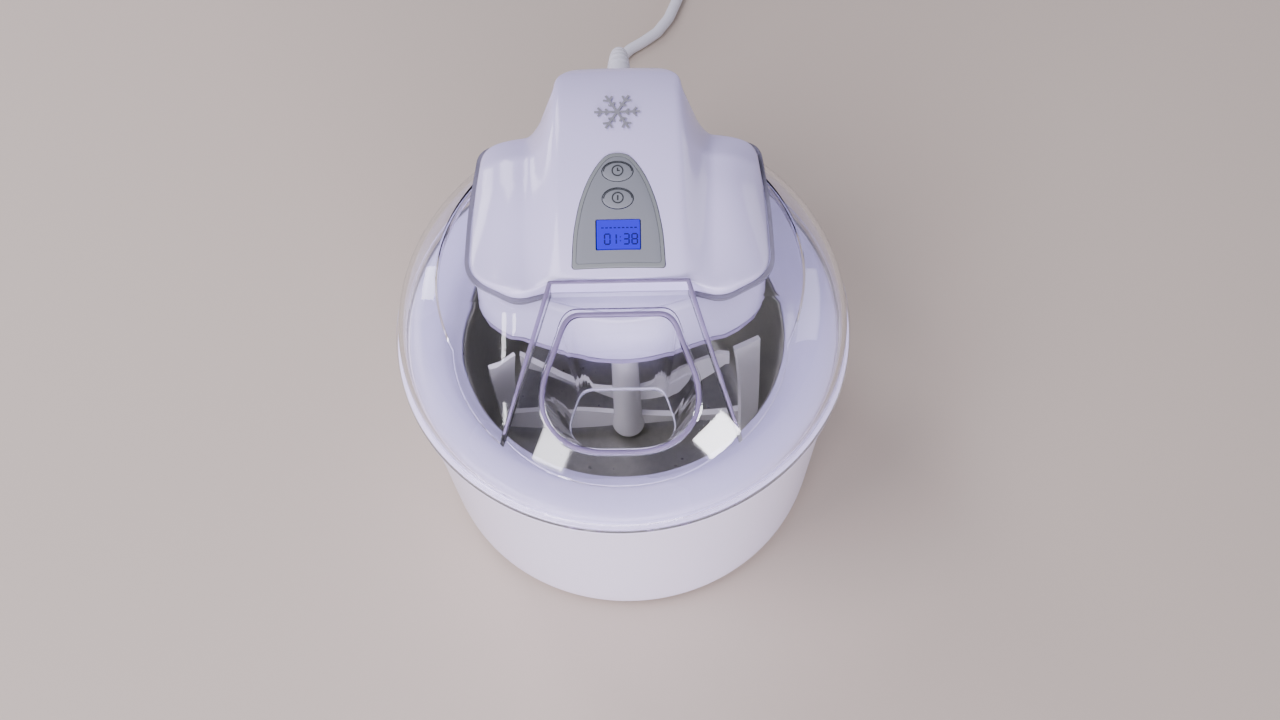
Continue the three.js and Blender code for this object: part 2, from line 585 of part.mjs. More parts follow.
function addMotorTub() {
  const roof = underDeck(COLLAR.wall + GAP, 100);
  let tub = tubPrism(0, TUB.bottom, TUB.top).intersect(roof);
  tub = tub.subtract(tubPrism(TUB.wall, TUB.bottom + TUB.wall, TUB.top + 5));
  for (const [x, y] of HOUSING_SCREWS) tub = tub.add(toSolid(cylinder(5.6, TUB.bottom, TUB.top, x, y)));
  for (const [x, y] of PLATE_SCREWS) {
    tub = tub.add(toSolid(cylinder(4, TUB.bottom, PLATE.bottom - GAP, x, y)));
  }
  for (const [x, y] of HOUSING_SCREWS) {
    tub = tub.subtract(toSolid(cylinder(2.05, 140, 180, x, y, 8)));
    tub = tub.subtract(toSolid(cylinder(4, 140, 165, x, y)));
  }
  for (const [x, y] of PLATE_SCREWS) tub = tub.subtract(toSolid(cylinder(1.75, 160, 180, x, y, 8)));
  tub = tub.subtract(toSolid(cylinder(6.3, 140, 150, 0, 0)));
  tub = tub.subtract(toSolid(cylinder(2.3, 147, 150, 0, STEP_Y, 8)));
  piece('motor_lower_housing', tub, WHITE);
  const sealTop = TUB.bottom - GAP;
  const seal = tubPrism(0.6, sealTop - SEAL.height, sealTop)
    .subtract(tubPrism(0.6 + SEAL.width, sealTop - SEAL.height - 1, sealTop + 1));
  piece('housing_seal', seal, RUBBER);
}

function addScrews() {
  HOUSING_SCREWS.forEach(([x, y], i) => {
    const profile = [[0, 162.2], [3.6, 162.2], [3.6, 164.7], [1.7, 164.7], [1.7, 183.4], [0, 184]];
    piece(`housing_screw_${i + 1}`, turned(profile, 8), STEEL).position.set(x, y, 0);
  });
  PLATE_SCREWS.forEach(([x, y], i) => {
    const head = PLATE.top + GAP;
    const profile = [[0, 161], [1.4, 161.6], [1.4, head], [2.9, head], [2.9, head + 2], [0, head + 2]];
    piece(`plate_screw_${i + 1}`, turned(profile, 8), STEEL).position.set(x, y, 0);
  });
}

function gearShape(teeth, moduleSize, phase) {
  const pitch = moduleSize * teeth / 2;
  const root = pitch - 1.15 * moduleSize;
  const tip = pitch + 0.8 * moduleSize;
  const shape = new THREE.Shape();
  for (let i = 0; i < teeth; i++) {
    const centre = phase + 2 * Math.PI * i / teeth;
    const pace = 2 * Math.PI / teeth;
    for (const [radius, share] of [[root, -0.26], [tip, -0.1], [tip, 0.1], [root, 0.26]]) {
      const angle = centre + share * pace;
      if (i === 0 && share === -0.26) shape.moveTo(radius * Math.cos(angle), radius * Math.sin(angle));
      else shape.lineTo(radius * Math.cos(angle), radius * Math.sin(angle));
    }
  }
  shape.closePath();
  return shape;
}

/** A gear between two heights. The phase turns one tooth, or one gap, to face its neighbour. */
function gear(teeth, bottom, top, phase) {
  return toSolid(prism(gearShape(teeth, MODULE_SIZE, phase), bottom, top, 1));
}

function addGearTrain() {
  const forward = Math.PI / 2;
  const backward = -Math.PI / 2;
  const shaft = OUTPUT_SHAFT;
  const output = gear(OUTPUT_TEETH, GEAR_Z.output, GEAR_Z.outputTop, forward)
    .add(toSolid(cylinder(shaft.radius, shaft.hexTop - 1, shaft.top)))
    .add(toSolid(cylinder(shaft.hexRadius, shaft.bottom, shaft.hexTop, 0, 0, 6)));
  piece('output_gear', output, ACETAL);

  const stepped = gear(STEP_SMALL_TEETH, GEAR_Z.small, GEAR_Z.big + 1, backward + Math.PI / STEP_SMALL_TEETH)
    .add(gear(STEP_BIG_TEETH, GEAR_Z.big, GEAR_Z.bigTop, forward + Math.PI / STEP_BIG_TEETH))
    .subtract(toSolid(cylinder(2.4, 140, 180)));
  piece('stepped_gear', stepped, ACETAL).position.set(0, STEP_Y, 0);
  piece('stepped_gear_axle', cylinder(2, 148, PLATE.bottom + 2, 0, STEP_Y), STEEL);

  const pinion = gear(PINION_TEETH, GEAR_Z.pinion, GEAR_Z.pinionTop, backward)
    .add(toSolid(cylinder(MOTOR.shaft, GEAR_Z.pinion, 186)));
  piece('motor_pinion', pinion, STEEL).position.set(0, MOTOR_Y, 0);

  const bush = turned([[4.4, 143], [9, 143], [9, 145.7], [6, 145.7], [6, 151.4], [4.4, 151.4]], SMALL_SIDES, true);
  piece('output_bush', bush, BRASS);
}

function addMotor() {
  const { half, frontY, rearY, bottom, top } = PLATE;
  const corners = mirrored([[half, frontY, 6], [half, rearY, 6]]);
  let plate = toSolid(prism(rounded(corners), bottom, top, 2));
  plate = plate.subtract(toSolid(cylinder(2.3, 160, 180, 0, STEP_Y, 8)));
  plate = plate.subtract(toSolid(cylinder(9, 160, 180, 0, MOTOR_Y)));
  for (const [x, y] of PLATE_SCREWS) plate = plate.subtract(toSolid(cylinder(1.75, 160, 180, x, y, 8)));
  piece('gearbox_plate', plate, STEEL);

  const m = MOTOR;
  const can = turned([
    [m.shaft + 0.6, m.bottom], [m.radius - 1, m.bottom], [m.radius, m.bottom + 1], [m.radius, m.top - 2],
    [m.radius - 2, m.top], [0, m.top], [0, 187], [m.shaft + 0.6, 187],
  ], 24, true);
  piece('motor_can', can.translate(0, MOTOR_Y, 0), STEEL);
}

// ---------------------------------------------------------------- mains cord

function addCord() {
  const rear = CROWN.rearY;
  const z = CORD.exitZ;
  const neck = 4.6;
  const straight = [
    [rear - 5.1, z, 7, 0], [rear - 2.9, z, 7, 0], [rear - 2.9, z, neck, 0], [rear + GAP + 0.1, z, neck, 0],
    [rear + GAP + 0.1, z, RELIEF.wallRadius, 0],
  ];
  const bend = steps(0, 1, 6).map((share) => {
    const pitch = share * RELIEF.bendAngle;
    const drop = RELIEF.bendRadius * (1 - Math.cos(pitch));
    const radius = THREE.MathUtils.lerp(RELIEF.wallRadius, RELIEF.tipRadius, share);
    return [RELIEF.bendY + RELIEF.bendRadius * Math.sin(pitch), z - drop, radius, pitch];
  });
  piece('strain_relief', bentSleeve([...straight, ...bend], SMALL_SIDES), WHITE);
  piece('cord_run', tube(CORD_ROUTE, CORD.radius, 8, 44), WHITE);
  const { inner, outer, bottom, top } = COIL;
  const ring = turned([
    [inner, bottom + 3], [inner + 3, bottom], [outer - 3, bottom], [outer, bottom + 3], [outer - 2.5, top - 2],
    [outer - 5, top], [inner + 5, top], [inner + 2.5, top - 2],
  ], 24, true);
  piece('cord_coil', ring.translate(COIL.x, COIL.y, 0), WHITE);
  piece('cord_tail', tube(TAIL_ROUTE, CORD.radius, 8, 6), WHITE);

  const middle = (inner + outer) / 2;
  const strap = mirrored([[outer - middle + 1.2, 0.1, 3], [outer - middle + 1.2, top + 1.1, 3]]);
  const hole = prism(rounded(offset(strap, -0.8)), -5, 5, 2);
  const tie = toSolid(prism(rounded(strap), -2.5, 2.5, 2)).subtract(toSolid(hole));
  const band = toGeometry(tie).rotateX(Math.PI / 2).translate(middle, 0, 0).rotateZ(Math.PI * 0.8);
  piece('coil_tie', band.translate(COIL.x, COIL.y, 0), BLACK);
}

function addPlug() {
  const { y, z, coneStart, bodyStart, bodyEnd, half, blade } = PLUG;
  const cone = turned([[0, 0], [4, 0], [6.4, coneStart - bodyStart + 0.5], [0, coneStart - bodyStart + 0.5]], 14)
    .rotateY(-Math.PI / 2).translate(coneStart, y, z);
  const outline = mirrored([[half + 3, -half, 3], [half + 3, half, 3]]);
  const body = prism(rounded(outline), 0, bodyStart - bodyEnd, 2).rotateX(Math.PI / 2).rotateZ(Math.PI / 2)
    .translate(bodyEnd, y, z);
  piece('plug_body', toSolid(cone).add(toSolid(body)), WHITE);
  [1, -1].forEach((side, i) => {
    const x = bodyEnd - GAP - blade / 2;
    piece(`plug_blade_${i + 1}`, block(blade, 1.5, 6.4, x, y + side * 6.35, z), BRASS);
  });
}

addBucket();
addFreezerBowl();
addPaddle();
addLid();
addHeadCover();
addControlPanel();
addControlBoard();
addEmblem();
addMotorTub();
addScrews();
addGearTrain();
addMotor();
addCord();
addPlug();

export default object;
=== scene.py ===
"""Looks for the ice cream maker: smooth moulded shells, a clear dome lid, the control panel and the cord.

Blender's lengths are metres. Shapes are drawn in millimetres and scaled where their data is made.
The front of the object faces -Y, as in the CAD frame.
"""
import math

import bmesh
import bpy
import numpy as np
from mathutils import Matrix, Vector
from mathutils.geometry import delaunay_2d_cdt


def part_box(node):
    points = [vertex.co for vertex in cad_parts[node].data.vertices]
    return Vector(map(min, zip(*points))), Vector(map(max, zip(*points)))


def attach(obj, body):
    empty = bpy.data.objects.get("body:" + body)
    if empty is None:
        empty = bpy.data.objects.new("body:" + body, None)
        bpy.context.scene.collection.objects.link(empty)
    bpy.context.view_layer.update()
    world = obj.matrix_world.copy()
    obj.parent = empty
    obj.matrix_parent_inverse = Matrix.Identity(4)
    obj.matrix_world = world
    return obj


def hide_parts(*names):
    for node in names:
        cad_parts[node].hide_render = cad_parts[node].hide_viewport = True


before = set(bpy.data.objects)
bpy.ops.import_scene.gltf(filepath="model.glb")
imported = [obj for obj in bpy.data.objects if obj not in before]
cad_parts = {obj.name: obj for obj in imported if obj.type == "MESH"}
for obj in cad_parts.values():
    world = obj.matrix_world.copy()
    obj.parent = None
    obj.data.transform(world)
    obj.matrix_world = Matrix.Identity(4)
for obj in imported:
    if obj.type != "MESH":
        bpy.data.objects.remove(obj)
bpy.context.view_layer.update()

MM = 0.001

# ---------------------------------------------------------------- dimensions, in millimetres

def node_box(node):
    """Lowest and highest corner of a CAD node, in millimetres."""
    low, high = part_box(node)
    return np.array(low) / MM, np.array(high) / MM


FLOOR_Z = 0.0
LID_LOW, LID_HIGH = node_box("clear_lid")
FLANGE_RADIUS = LID_HIGH[0]
FLANGE_BOTTOM = LID_LOW[2]
RIM_Z = node_box("outer_bucket")[1][2]

SHOULDER = dict(centre_radius=68, centre_z=133, radius=45)
COLUMN_RADIUS = 90.5
COLUMN_TOP = 225
TOOL_BOTTOM = 100
INNER_FOOT = [(0, 110), (110.1, 110)]
LID_WALL = 2.3
COLLAR = dict(bottom=134, top=179.4, wall=2.5)
TOP_Z = 178
DECK = dict(rear_y=-16, lip_y=-106, lip_z=156)
RAMP = dict(rear_y=-12, rear_z=190, rear_half=34, front_y=-112, front_half=66.4, slope=34 / 93)
CHUTE_CORNERS = [(20, -41, 6), (27, -65, 9), (16, -74.5, 12)]
CHUTE = dict(throat_z=132, centre_y=-57, wall=2.2)
CHUTE_GROWTH = dict(side_front=0.0116, side_rear=0.0056, front=0.029, rear=0.0132)

HEAD_CORNERS = [
    (34, -12, 3), (50, -16.5, 7), (73.8, -3, 12), (72.6, 37, 14),
    (68.5, 71, 8), (44, 77, 6), (32.5, 87, 9), (31.3, 99, 9),
    (19, 110, 14),
]
HEAD_BASE = 178.3
HEAD_EDGE_ROUND = 1.32
CROWN = dict(peak_z=211.5, peak_y=72, front_y=-12, rear_y=110, drop=21.5)
RIDGE = dict(half=33, flat=29.5, foot=47, camber=2)
WING = dict(edge_z=179.8, edge_x=73, front_rise=5, rear_rise=14)

TUB_CORNERS = [
    (33, -25.5, 16), (60, -13.5, 14), (72, 0, 9), (71.2, 37, 12),
    (66.5, 63, 6), (42, 72, 4), (33, 80, 4),
]
TUB = dict(bottom=146, top=175.2, wall=2.2, lean=0.3, front_y=-32)

PANEL = dict(front_y=-7, apex_y=50, half=22.6, border=1.7)
LCD = dict(y=8, width=21.4, depth=14)
BUTTON = dict(width=15.6, depth=10.8, timer_y=38.5, power_y=25)
EMBLEM_Y = 71

CORD = dict(radius=3.3, exit=(0, 133.75, 176.3), length=1.225)
RELIEF = dict(wall_y=110.4, z=186, bend_y=113, bend_radius=27, bend_angle=0.85)
RELIEF_RADIUS = dict(wall=6.4, tip=4.1)
CORD_ROUTE = [
    (0, 133.75, 176.3), (0, 140.1, 168.1), (-0.1, 144.4, 157), (-0.4, 146.3, 140), (-0.9, 146.6, 118),
    (-1.6, 146.6, 96), (-2.6, 147, 74), (-3.9, 148.6, 53), (-5.4, 152.6, 34.5), (-6.9, 160.4, 18.5),
    (-8.3, 172.5, 8), (-9.6, 187.5, 4), (-10.8, 206, 3.4), (-11.6, 224, 3.4), (-11.6, 240, 3.4),
    (-10, 253, 3.4), (-5.6, 263.5, 3.4), (1.4, 271, 3.4), (9.6, 276.6, 3.4), (17.8, 283.4, 3.4),
    (24.9, 294, 3.4), (30.4, 308.4, 3.4), (34, 325, 3.7), (35.7, 347.3, 4.5),
]
COIL = dict(x=-5, y=372, inner=30.9, outer=44.4, bottom=1.2, top=13.9)
TAIL_ROUTE = [(-34, 412.3, 8.4), (-43, 412.4, 8.2), (-52, 412.2, 8.1), (-60, 412, 8.1)]
PLUG = dict(y=412, z=8.1)

# The view: where the camera looks, from what side and how far, and its lens.
VIEW = dict(target=(7.8, 0.3, 91.3), yaw=2.07, elevation=59.62, roll=-2.82, distance=1241, lens=67.2)


# ---------------------------------------------------------------- camera, lights and floor

# Soft boxes, in metres and watts: name, place, width and depth, power and colour. They aim at AIM.
AIM = (0, 0, 0.12)
SOFT_BOXES = [
    ("key_left", (-0.75, -0.45, 1.35), (0.8, 0.8), 17, (0.91, 0.86, 1.0)),
    ("back_left_window", (-0.85, 0.95, 1.25), (0.40, 0.9), 9, (0.90, 0.87, 1.0)),
    ("window_low_left", (-1.40, 0.85, 0.42), (0.30, 0.5), 4, (0.90, 0.88, 1.0)),
    ("front_fill", (-0.15, -1.6, 0.50), (1.6, 0.6), 42, (0.91, 0.86, 1.0)),
    ("window_right", (1.40, 0.55, 0.60), (0.7, 0.7), 4, (0.90, 0.88, 1.0)),
]

# Small bright panes that show as glints in the lid: name, x, y, width, depth, turn in degrees and power.
PANE_Z = 1.56
CEILING_PANES = [
    ("pane_right", 0.0665, -0.374, 0.044, 0.036, 43.5, 0.36),
    ("pane_left", -0.110, -0.381, 0.034, 0.044, -23.5, 0.17),
    ("pane_strip_1", -0.160, 0.040, 0.0030, 0.075, 0, 0.030),
    ("pane_strip_2", -0.149, 0.042, 0.0025, 0.070, 0, 0.022),
]


def placed(name, data):
    """A new object in the scene."""
    made = bpy.data.objects.new(name, data)
    bpy.context.scene.collection.objects.link(made)
    return made


def add_camera():
    camera = placed("camera", bpy.data.cameras.new("camera"))
    camera.data.lens = VIEW["lens"]
    camera.data.sensor_width = 36
    camera.data.clip_end = 20
    yaw, elevation, roll = (math.radians(VIEW[key]) for key in ("yaw", "elevation", "roll"))
    turn = Matrix.Rotation(yaw, 3, "Z") @ Matrix.Rotation(math.pi / 2 - elevation, 3, "X")
    turn = turn @ Matrix.Rotation(roll, 3, "Z")
    back = turn @ Vector((0, 0, 1))
    place = (Vector(VIEW["target"]) + back * VIEW["distance"]) * MM
    camera.matrix_world = Matrix.Translation(place) @ turn.to_4x4()
    bpy.context.scene.camera = camera


def add_area_light(name, place, aim, size, power, color):
    light = bpy.data.lights.new(name, "AREA")
    light.shape = "RECTANGLE"
    light.size, light.size_y = size
    light.energy = power
    light.color = color
    lamp = placed(name, light)
    lamp.location = place
    lamp.rotation_euler = (Vector(aim) - Vector(place)).to_track_quat("-Z", "Y").to_euler()
    return lamp


def add_lights():
    """Big soft boxes for the form, and small bright panes for the glints."""
    for name, place, size, power, color in SOFT_BOXES:
        add_area_light(name, place, AIM, size, power, color)
    for name, x, y, width, depth, turn, power in CEILING_PANES:
        lamp = add_area_light(name, (x, y, PANE_Z), (x, y, 0), (width, depth), power, (0.94, 0.92, 1.0))
        lamp.rotation_euler = (0, 0, math.radians(turn))


def add_world():
    """A dim violet sky."""
    world = bpy.data.worlds.new("studio")
    bpy.context.scene.world = world
    world.use_nodes = True
    background = world.node_tree.nodes["Background"]
    background.inputs["Color"].default_value = (0.78, 0.76, 0.98, 1)
    background.inputs["Strength"].default_value = 0.33


def add_floor():
    size = 6
    mesh = bpy.data.meshes.new("floor")
    corners = [(-size, -size, FLOOR_Z), (size, -size, FLOOR_Z), (size, size, FLOOR_Z), (-size, size, FLOOR_Z)]
    mesh.from_pydata(corners, [], [(0, 1, 2, 3)])
    floor = placed("floor", mesh)
    material = bpy.data.materials.new("floor")
    material.use_nodes = True
    shader = material.node_tree.nodes["Principled BSDF"]
    shader.inputs["Base Color"].default_value = (0.60, 0.52, 0.42, 1)
    shader.inputs["Roughness"].default_value = 0.6
    mesh.materials.append(material)


# ---------------------------------------------------------------- materials

class Surface:
    """A node material: a Principled shader with noise that varies its colour, roughness and bump."""

    def __init__(self, name, color, roughness, metallic=0.0):
        self.name = name
        self.material = bpy.data.materials.new(name)
        self.material.use_nodes = True
        self.tree = self.material.node_tree
        self.shader = self.tree.nodes["Principled BSDF"]
        self.color = (*color, 1)
        self.set("Base Color", self.color)
        self.set("Roughness", roughness)
        self.set("Metallic", metallic)
        self.normal = None

    def set(self, socket, value):
        self.shader.inputs[socket].default_value = value

    def node(self, kind, **values):
        made = self.tree.nodes.new(kind)
        for key, value in values.items():
            if key in made.inputs:
                made.inputs[key].default_value = value
            else:
                setattr(made, key, value)
        return made

    def link(self, source, target):
        self.tree.links.new(source, target)

    def noise(self, scale, detail, stretch=None):
        """Noise in object space, in cycles per metre. The stretch scales each axis."""
        place = self.node("ShaderNodeTexCoord").outputs["Object"]
        if stretch:
            mapping = self.node("ShaderNodeMapping", Scale=stretch)
            self.link(place, mapping.inputs["Vector"])
            place = mapping.outputs["Vector"]
        made = self.node("ShaderNodeTexNoise", Scale=scale, Detail=detail)
        self.link(place, made.inputs["Vector"])
        return made.outputs["Fac"]

    def ramp(self, source, low, high):
        """A noise's middle range spread from low to high."""
        made = self.node("ShaderNodeMapRange")
        for socket, value in (("From Min", 0.3), ("From Max", 0.7), ("To Min", low), ("To Max", high)):
            made.inputs[socket].default_value = value
        self.link(source, made.inputs["Value"])
        return made.outputs["Result"]

    def vary_color(self, source, share):
        """Vary the colour between itself and a share of itself."""
        mix = self.node("ShaderNodeMix", data_type="RGBA")
        mix.inputs[6].default_value = self.color
        mix.inputs[7].default_value = (*(min(1, share * c) for c in self.color[:3]), 1)
        self.link(self.ramp(source, 0, 1), mix.inputs[0])
        self.link(mix.outputs[2], self.shader.inputs["Base Color"])

    def vary_roughness(self, source, low, high):
        self.link(self.ramp(source, low, high), self.shader.inputs["Roughness"])

    def bump(self, source, depth, strength):
        """Bump of a depth in metres. Later bumps add to earlier ones."""
        made = self.node("ShaderNodeBump", Strength=strength, Distance=depth)
        self.link(source, made.inputs["Height"])
        if self.normal:
            self.link(self.normal, made.inputs["Normal"])
        self.normal = made.outputs["Normal"]
        self.link(self.normal, self.shader.inputs["Normal"])


def gloss_white(name, color, roughness, grain=0.00003):
    surface = Surface(name, color, roughness)
    wide = surface.noise(14, 2)
    fine = surface.noise(900, 2)
    surface.vary_color(wide, 0.97)
    surface.vary_roughness(wide, roughness * 0.85, roughness * 1.2)
    surface.bump(fine, grain, 0.35)
    surface.set("Coat Weight", 0.35)
    surface.set("Coat Roughness", 0.08)
    surface.set("Subsurface Weight", 0.05)
    surface.set("Subsurface Radius", (0.004, 0.004, 0.004))
    return surface


def frosted_white():
    """Moulded plastic with the shallow rolling texture of the bucket's wall."""
    surface = gloss_white("bucket_white", (0.86, 0.81, 1.0), 0.34, 0.00002)
    rolling = surface.noise(75, 3, (1, 1, 0.6))
    surface.bump(rolling, 0.0005, 0.5)
    return surface


def clear_plastic():
    """Clear moulded plastic: true refraction with a violet-grey body tint, and lamps shine through it."""
    roughness = 0.015
    surface = Surface("clear", (0.985, 0.98, 1.0), roughness)
    surface.set("Transmission Weight", 1.0)
    surface.set("IOR", 1.49)
    haze = surface.noise(30, 2)
    surface.vary_roughness(haze, roughness * 0.6, roughness * 1.6)
    surface.bump(surface.noise(22, 1), 0.00012, 0.2)
    tree = surface.tree
    output = tree.nodes["Material Output"]
    absorb = surface.node("ShaderNodeVolumeAbsorption", Density=12.0)
    absorb.inputs["Color"].default_value = (0.42, 0.38, 0.56, 1)
    surface.link(absorb.outputs["Volume"], output.inputs["Volume"])
    path = surface.node("ShaderNodeLightPath")
    see_through = surface.node("ShaderNodeBsdfTransparent")
    see_through.inputs["Color"].default_value = (0.90, 0.89, 0.93, 1)
    mix = surface.node("ShaderNodeMixShader")
    surface.link(path.outputs["Is Shadow Ray"], mix.inputs[0])
    surface.link(surface.shader.outputs["BSDF"], mix.inputs[1])
    surface.link(see_through.outputs["BSDF"], mix.inputs[2])
    surface.link(mix.outputs["Shader"], output.inputs["Surface"])
    return surface


def edge_plastic(name, color):
    """The cut or rounded edge of clear moulding, where the body tint gathers."""
    surface = Surface(name, color, 0.12)
    surface.vary_color(surface.noise(45, 2), 1.35)
    surface.vary_roughness(surface.noise(30, 2), 0.08, 0.18)
    surface.bump(surface.noise(200, 1), 0.00003, 0.3)
    surface.set("Transmission Weight", 0.45)
    surface.set("IOR", 1.3)
    return surface


def satin(name, color, roughness, grain_scale=1500, grain=0.00004):
    surface = Surface(name, color, roughness)
    surface.vary_color(surface.noise(25, 2), 0.94)
    surface.bump(surface.noise(grain_scale, 2), grain, 0.5)
    surface.set("Specular IOR Level", 0.28)
    return surface


def brushed_metal(name, color, roughness, stretch):
    surface = Surface(name, color, roughness, 1.0)
    streaks = surface.noise(260, 4, stretch)
    surface.vary_color(streaks, 0.86)
    surface.vary_roughness(streaks, roughness * 0.8, roughness * 1.4)
    surface.bump(streaks, 0.00002, 0.3)
    return surface


def glowing(name, color, strength):
    surface = Surface(name, tuple(0.4 * c for c in color), 0.55)
    surface.set("Specular IOR Level", 0.12)
    surface.set("Emission Color", (*color, 1))
    surface.set("Emission Strength", strength)
    surface.bump(surface.noise(3000, 1), 0.00001, 0.2)
    return surface


def make_materials():
    white = (0.75, 0.69, 1.0)
    built = [
        gloss_white("head_white", white, 0.2),
        frosted_white(),
        # The bowl's white plastic gets a darker, bluer base colour: painted shade for the ring as it lies
        # under the clear dome.
        gloss_white("bowl_white_painted_shade", (0.53, 0.505, 0.74), 0.26),
        gloss_white("paddle_white", (0.82, 0.81, 0.83), 0.38, 0.00006),
        # The tub's white plastic gets a dark grey base colour: painted shade for the tub as it lies under the
        # head and the clear deck.
        gloss_white("tub_white_painted_shade", (0.46, 0.44, 0.60), 0.32),
        satin("cord_white", (0.80, 0.80, 0.84), 0.42, 700),
        clear_plastic(),
        edge_plastic("clear_edge", (0.34, 0.28, 0.46)),
        edge_plastic("band_edge", (0.27, 0.26, 0.32)),
        edge_plastic("pale_edge", (0.66, 0.66, 0.74)),
        satin("panel_grey", (0.23, 0.245, 0.26), 0.46),
        satin("border_grey", (0.235, 0.255, 0.25), 0.45),
        satin("print_dark", (0.035, 0.04, 0.042), 0.5),
        satin("emblem_grey", (0.30, 0.30, 0.33), 0.4),
        satin("seal_grey", (0.22, 0.19, 0.30), 0.5, 500),
        satin("rubber", (0.16, 0.155, 0.17), 0.8, 400, 0.0002),
        # The liner's aluminium is darkened and warmed. The darkening is painted shade of the bowl's inside,
        # and the warmth is the tint of the ice cream mix, which is not modelled.
        brushed_metal("aluminium", (0.46, 0.46, 0.40), 0.34, (1, 1, 14)),
        brushed_metal("steel", (0.60, 0.60, 0.62), 0.3, (8, 1, 1)),
        brushed_metal("brass", (0.72, 0.54, 0.24), 0.3, (1, 8, 1)),
        satin("acetal", (0.86, 0.83, 0.74), 0.45, 900),
        satin("board", (0.03, 0.16, 0.07), 0.5, 800),
        satin("black", (0.02, 0.02, 0.024), 0.5, 900),
        satin("gel", (0.42, 0.60, 0.74), 0.4, 200),
        glowing("display", (0.03, 0.0, 1.0), 0.62),
        satin("segment", (0.006, 0.008, 0.05), 0.7),
    ]
    return {surface.name: surface.material for surface in built}


MATERIALS = make_materials()


# ---------------------------------------------------------------- mesh helpers

GRID_MARGIN = 2.8  # How far a skin's inner points stay from its outline.


def tool(verts, faces):
    """A bare object from vertices in millimetres, for boolean work or to be dressed."""
    mesh = bpy.data.meshes.new("tool")
    mesh.from_pydata((np.asarray(verts, float) * MM).tolist(), [], [tuple(int(i) for i in f) for f in faces])
    clean(mesh)
    return placed("tool", mesh)


def dress(made, name, look, body, stands_for=()):
    """Name a piece, give it its look, attach it to its body, and hide the CAD nodes it stands for."""
    made.name = name
    made.data.name = name
    made.data.materials.clear()
    made.data.materials.append(MATERIALS[look])
    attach(made, body)
    if stands_for:
        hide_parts(*stands_for)
    return made


def smooth(made, sharp):
    """Shade a piece smoothly, with edges over the sharp angle left crisp."""
    made.data.shade_smooth()
    made.data.set_sharp_from_angle(angle=math.radians(sharp))


def add_bevel(made, width, angle, segments):
    """Round every edge over an angle."""
    bevel = made.modifiers.new("edges", "BEVEL")
    bevel.width = width * MM
    bevel.segments = segments
    bevel.limit_method = "ANGLE"
    bevel.angle_limit = math.radians(angle)
    return bevel


def finish_edges(made, width, angle, segments):
    """Round the edges of a boolean's result, and keep its broad faces' shading clean."""
    made.data.shade_smooth()
    add_bevel(made, width, angle, segments).harden_normals = True


def new_object(name, verts, faces, look, body, stands_for=(), sharp=35):
    made = tool(verts, faces)
    smooth(made, sharp)
    return dress(made, name, look, body, stands_for)


def clean(mesh):
    """Weld doubled vertices and turn the faces outward."""
    work = bmesh.new()
    work.from_mesh(mesh)
    bmesh.ops.remove_doubles(work, verts=work.verts, dist=1e-6)
    bmesh.ops.dissolve_degenerate(work, edges=work.edges, dist=1e-7)
    bmesh.ops.recalc_face_normals(work, faces=work.faces)
    work.to_mesh(mesh)
    work.free()


def rounded_path(corners, closed=True, pieces=6):
    """A polyline through (x, y, rounding) corners, each one rounded by a quadratic curve."""
    points = []
    count = len(corners)
    for i, (x, y, size) in enumerate(corners):
        corner = np.array((x, y), float)
        if size == 0 or (not closed and i in (0, count - 1)):
            points.append(corner)
            continue
        before = np.array(corners[i - 1][:2], float) - corner
        after = np.array(corners[(i + 1) % count][:2], float) - corner
        reach_before, reach_after = np.linalg.norm(before), np.linalg.norm(after)
        start = corner + before / reach_before * min(size, reach_before * 0.48)
        end = corner + after / reach_after * min(size, reach_after * 0.48)
        for t in np.linspace(0, 1, pieces + 1):
            points.append((1 - t) ** 2 * start + 2 * t * (1 - t) * corner + t * t * end)
    return np.array(points)


def resampled(path, spacing):
    """The closed path with extra points, so that no step is longer than the spacing."""
    out = []
    for a, b in zip(path, np.roll(path, -1, axis=0)):
        steps = max(1, int(np.ceil(np.linalg.norm(b - a) / spacing)))
        out.extend(a + (b - a) * t for t in np.arange(steps) / steps)
    return np.array(out)


def mirrored(corners):
    return list(corners) + [(-x, y, size) for x, y, size in reversed(corners)]


def offset(corners, distance):
    """Every edge of an anticlockwise outline moved outward by a distance, or inward by a negative one."""
    out = []
    for i, (x, y, size) in enumerate(corners):
        before, after = corners[i - 1], corners[(i + 1) % len(corners)]
        n1 = np.array((y - before[1], before[0] - x), float)
        n2 = np.array((after[1] - y, x - after[0]), float)
        n1, n2 = n1 / np.linalg.norm(n1), n2 / np.linalg.norm(n2)
        moved = np.array((x, y)) + (n1 + n2) * distance / (1 + n1 @ n2)
        out.append((moved[0], moved[1], size))
    return out


def turned(path, sides):
    """Vertices and faces of a path of (radius, z) points turned about Z."""
    angles = np.arange(sides) * 2 * math.pi / sides
    verts = np.array([(r * math.cos(a), r * math.sin(a), z) for r, z in path for a in angles])
    return verts, quads(len(path), sides)


def lathe(name, profile, sides, look, body, stands_for, place=(0, 0)):
    """Turn a profile of (radius, z, rounding) about an upright axis at the place."""
    verts, faces = turned(rounded_path(profile, closed=False), sides)
    new_object(name, verts + np.array((*place, 0)), faces, look, body, stands_for)


def quads(rows, count, closed=False):
    """Faces between rows of vertices, each row a ring. A closed tube joins its last row to its first."""
    return [(i * count + j, i * count + (j + 1) % count,
             (i + 1) % rows * count + (j + 1) % count, (i + 1) % rows * count + j)
            for i in range(rows if closed else rows - 1) for j in range(count)]


def end_caps(rows, count):
    """The two faces that close a stack of rings."""
    last = (rows - 1) * count
    return [tuple(range(count))[::-1], tuple(range(last, last + count))]


def stacked(rows, count):
    """Faces of a solid made of rings, closed at both ends."""
    return quads(rows, count) + end_caps(rows, count)


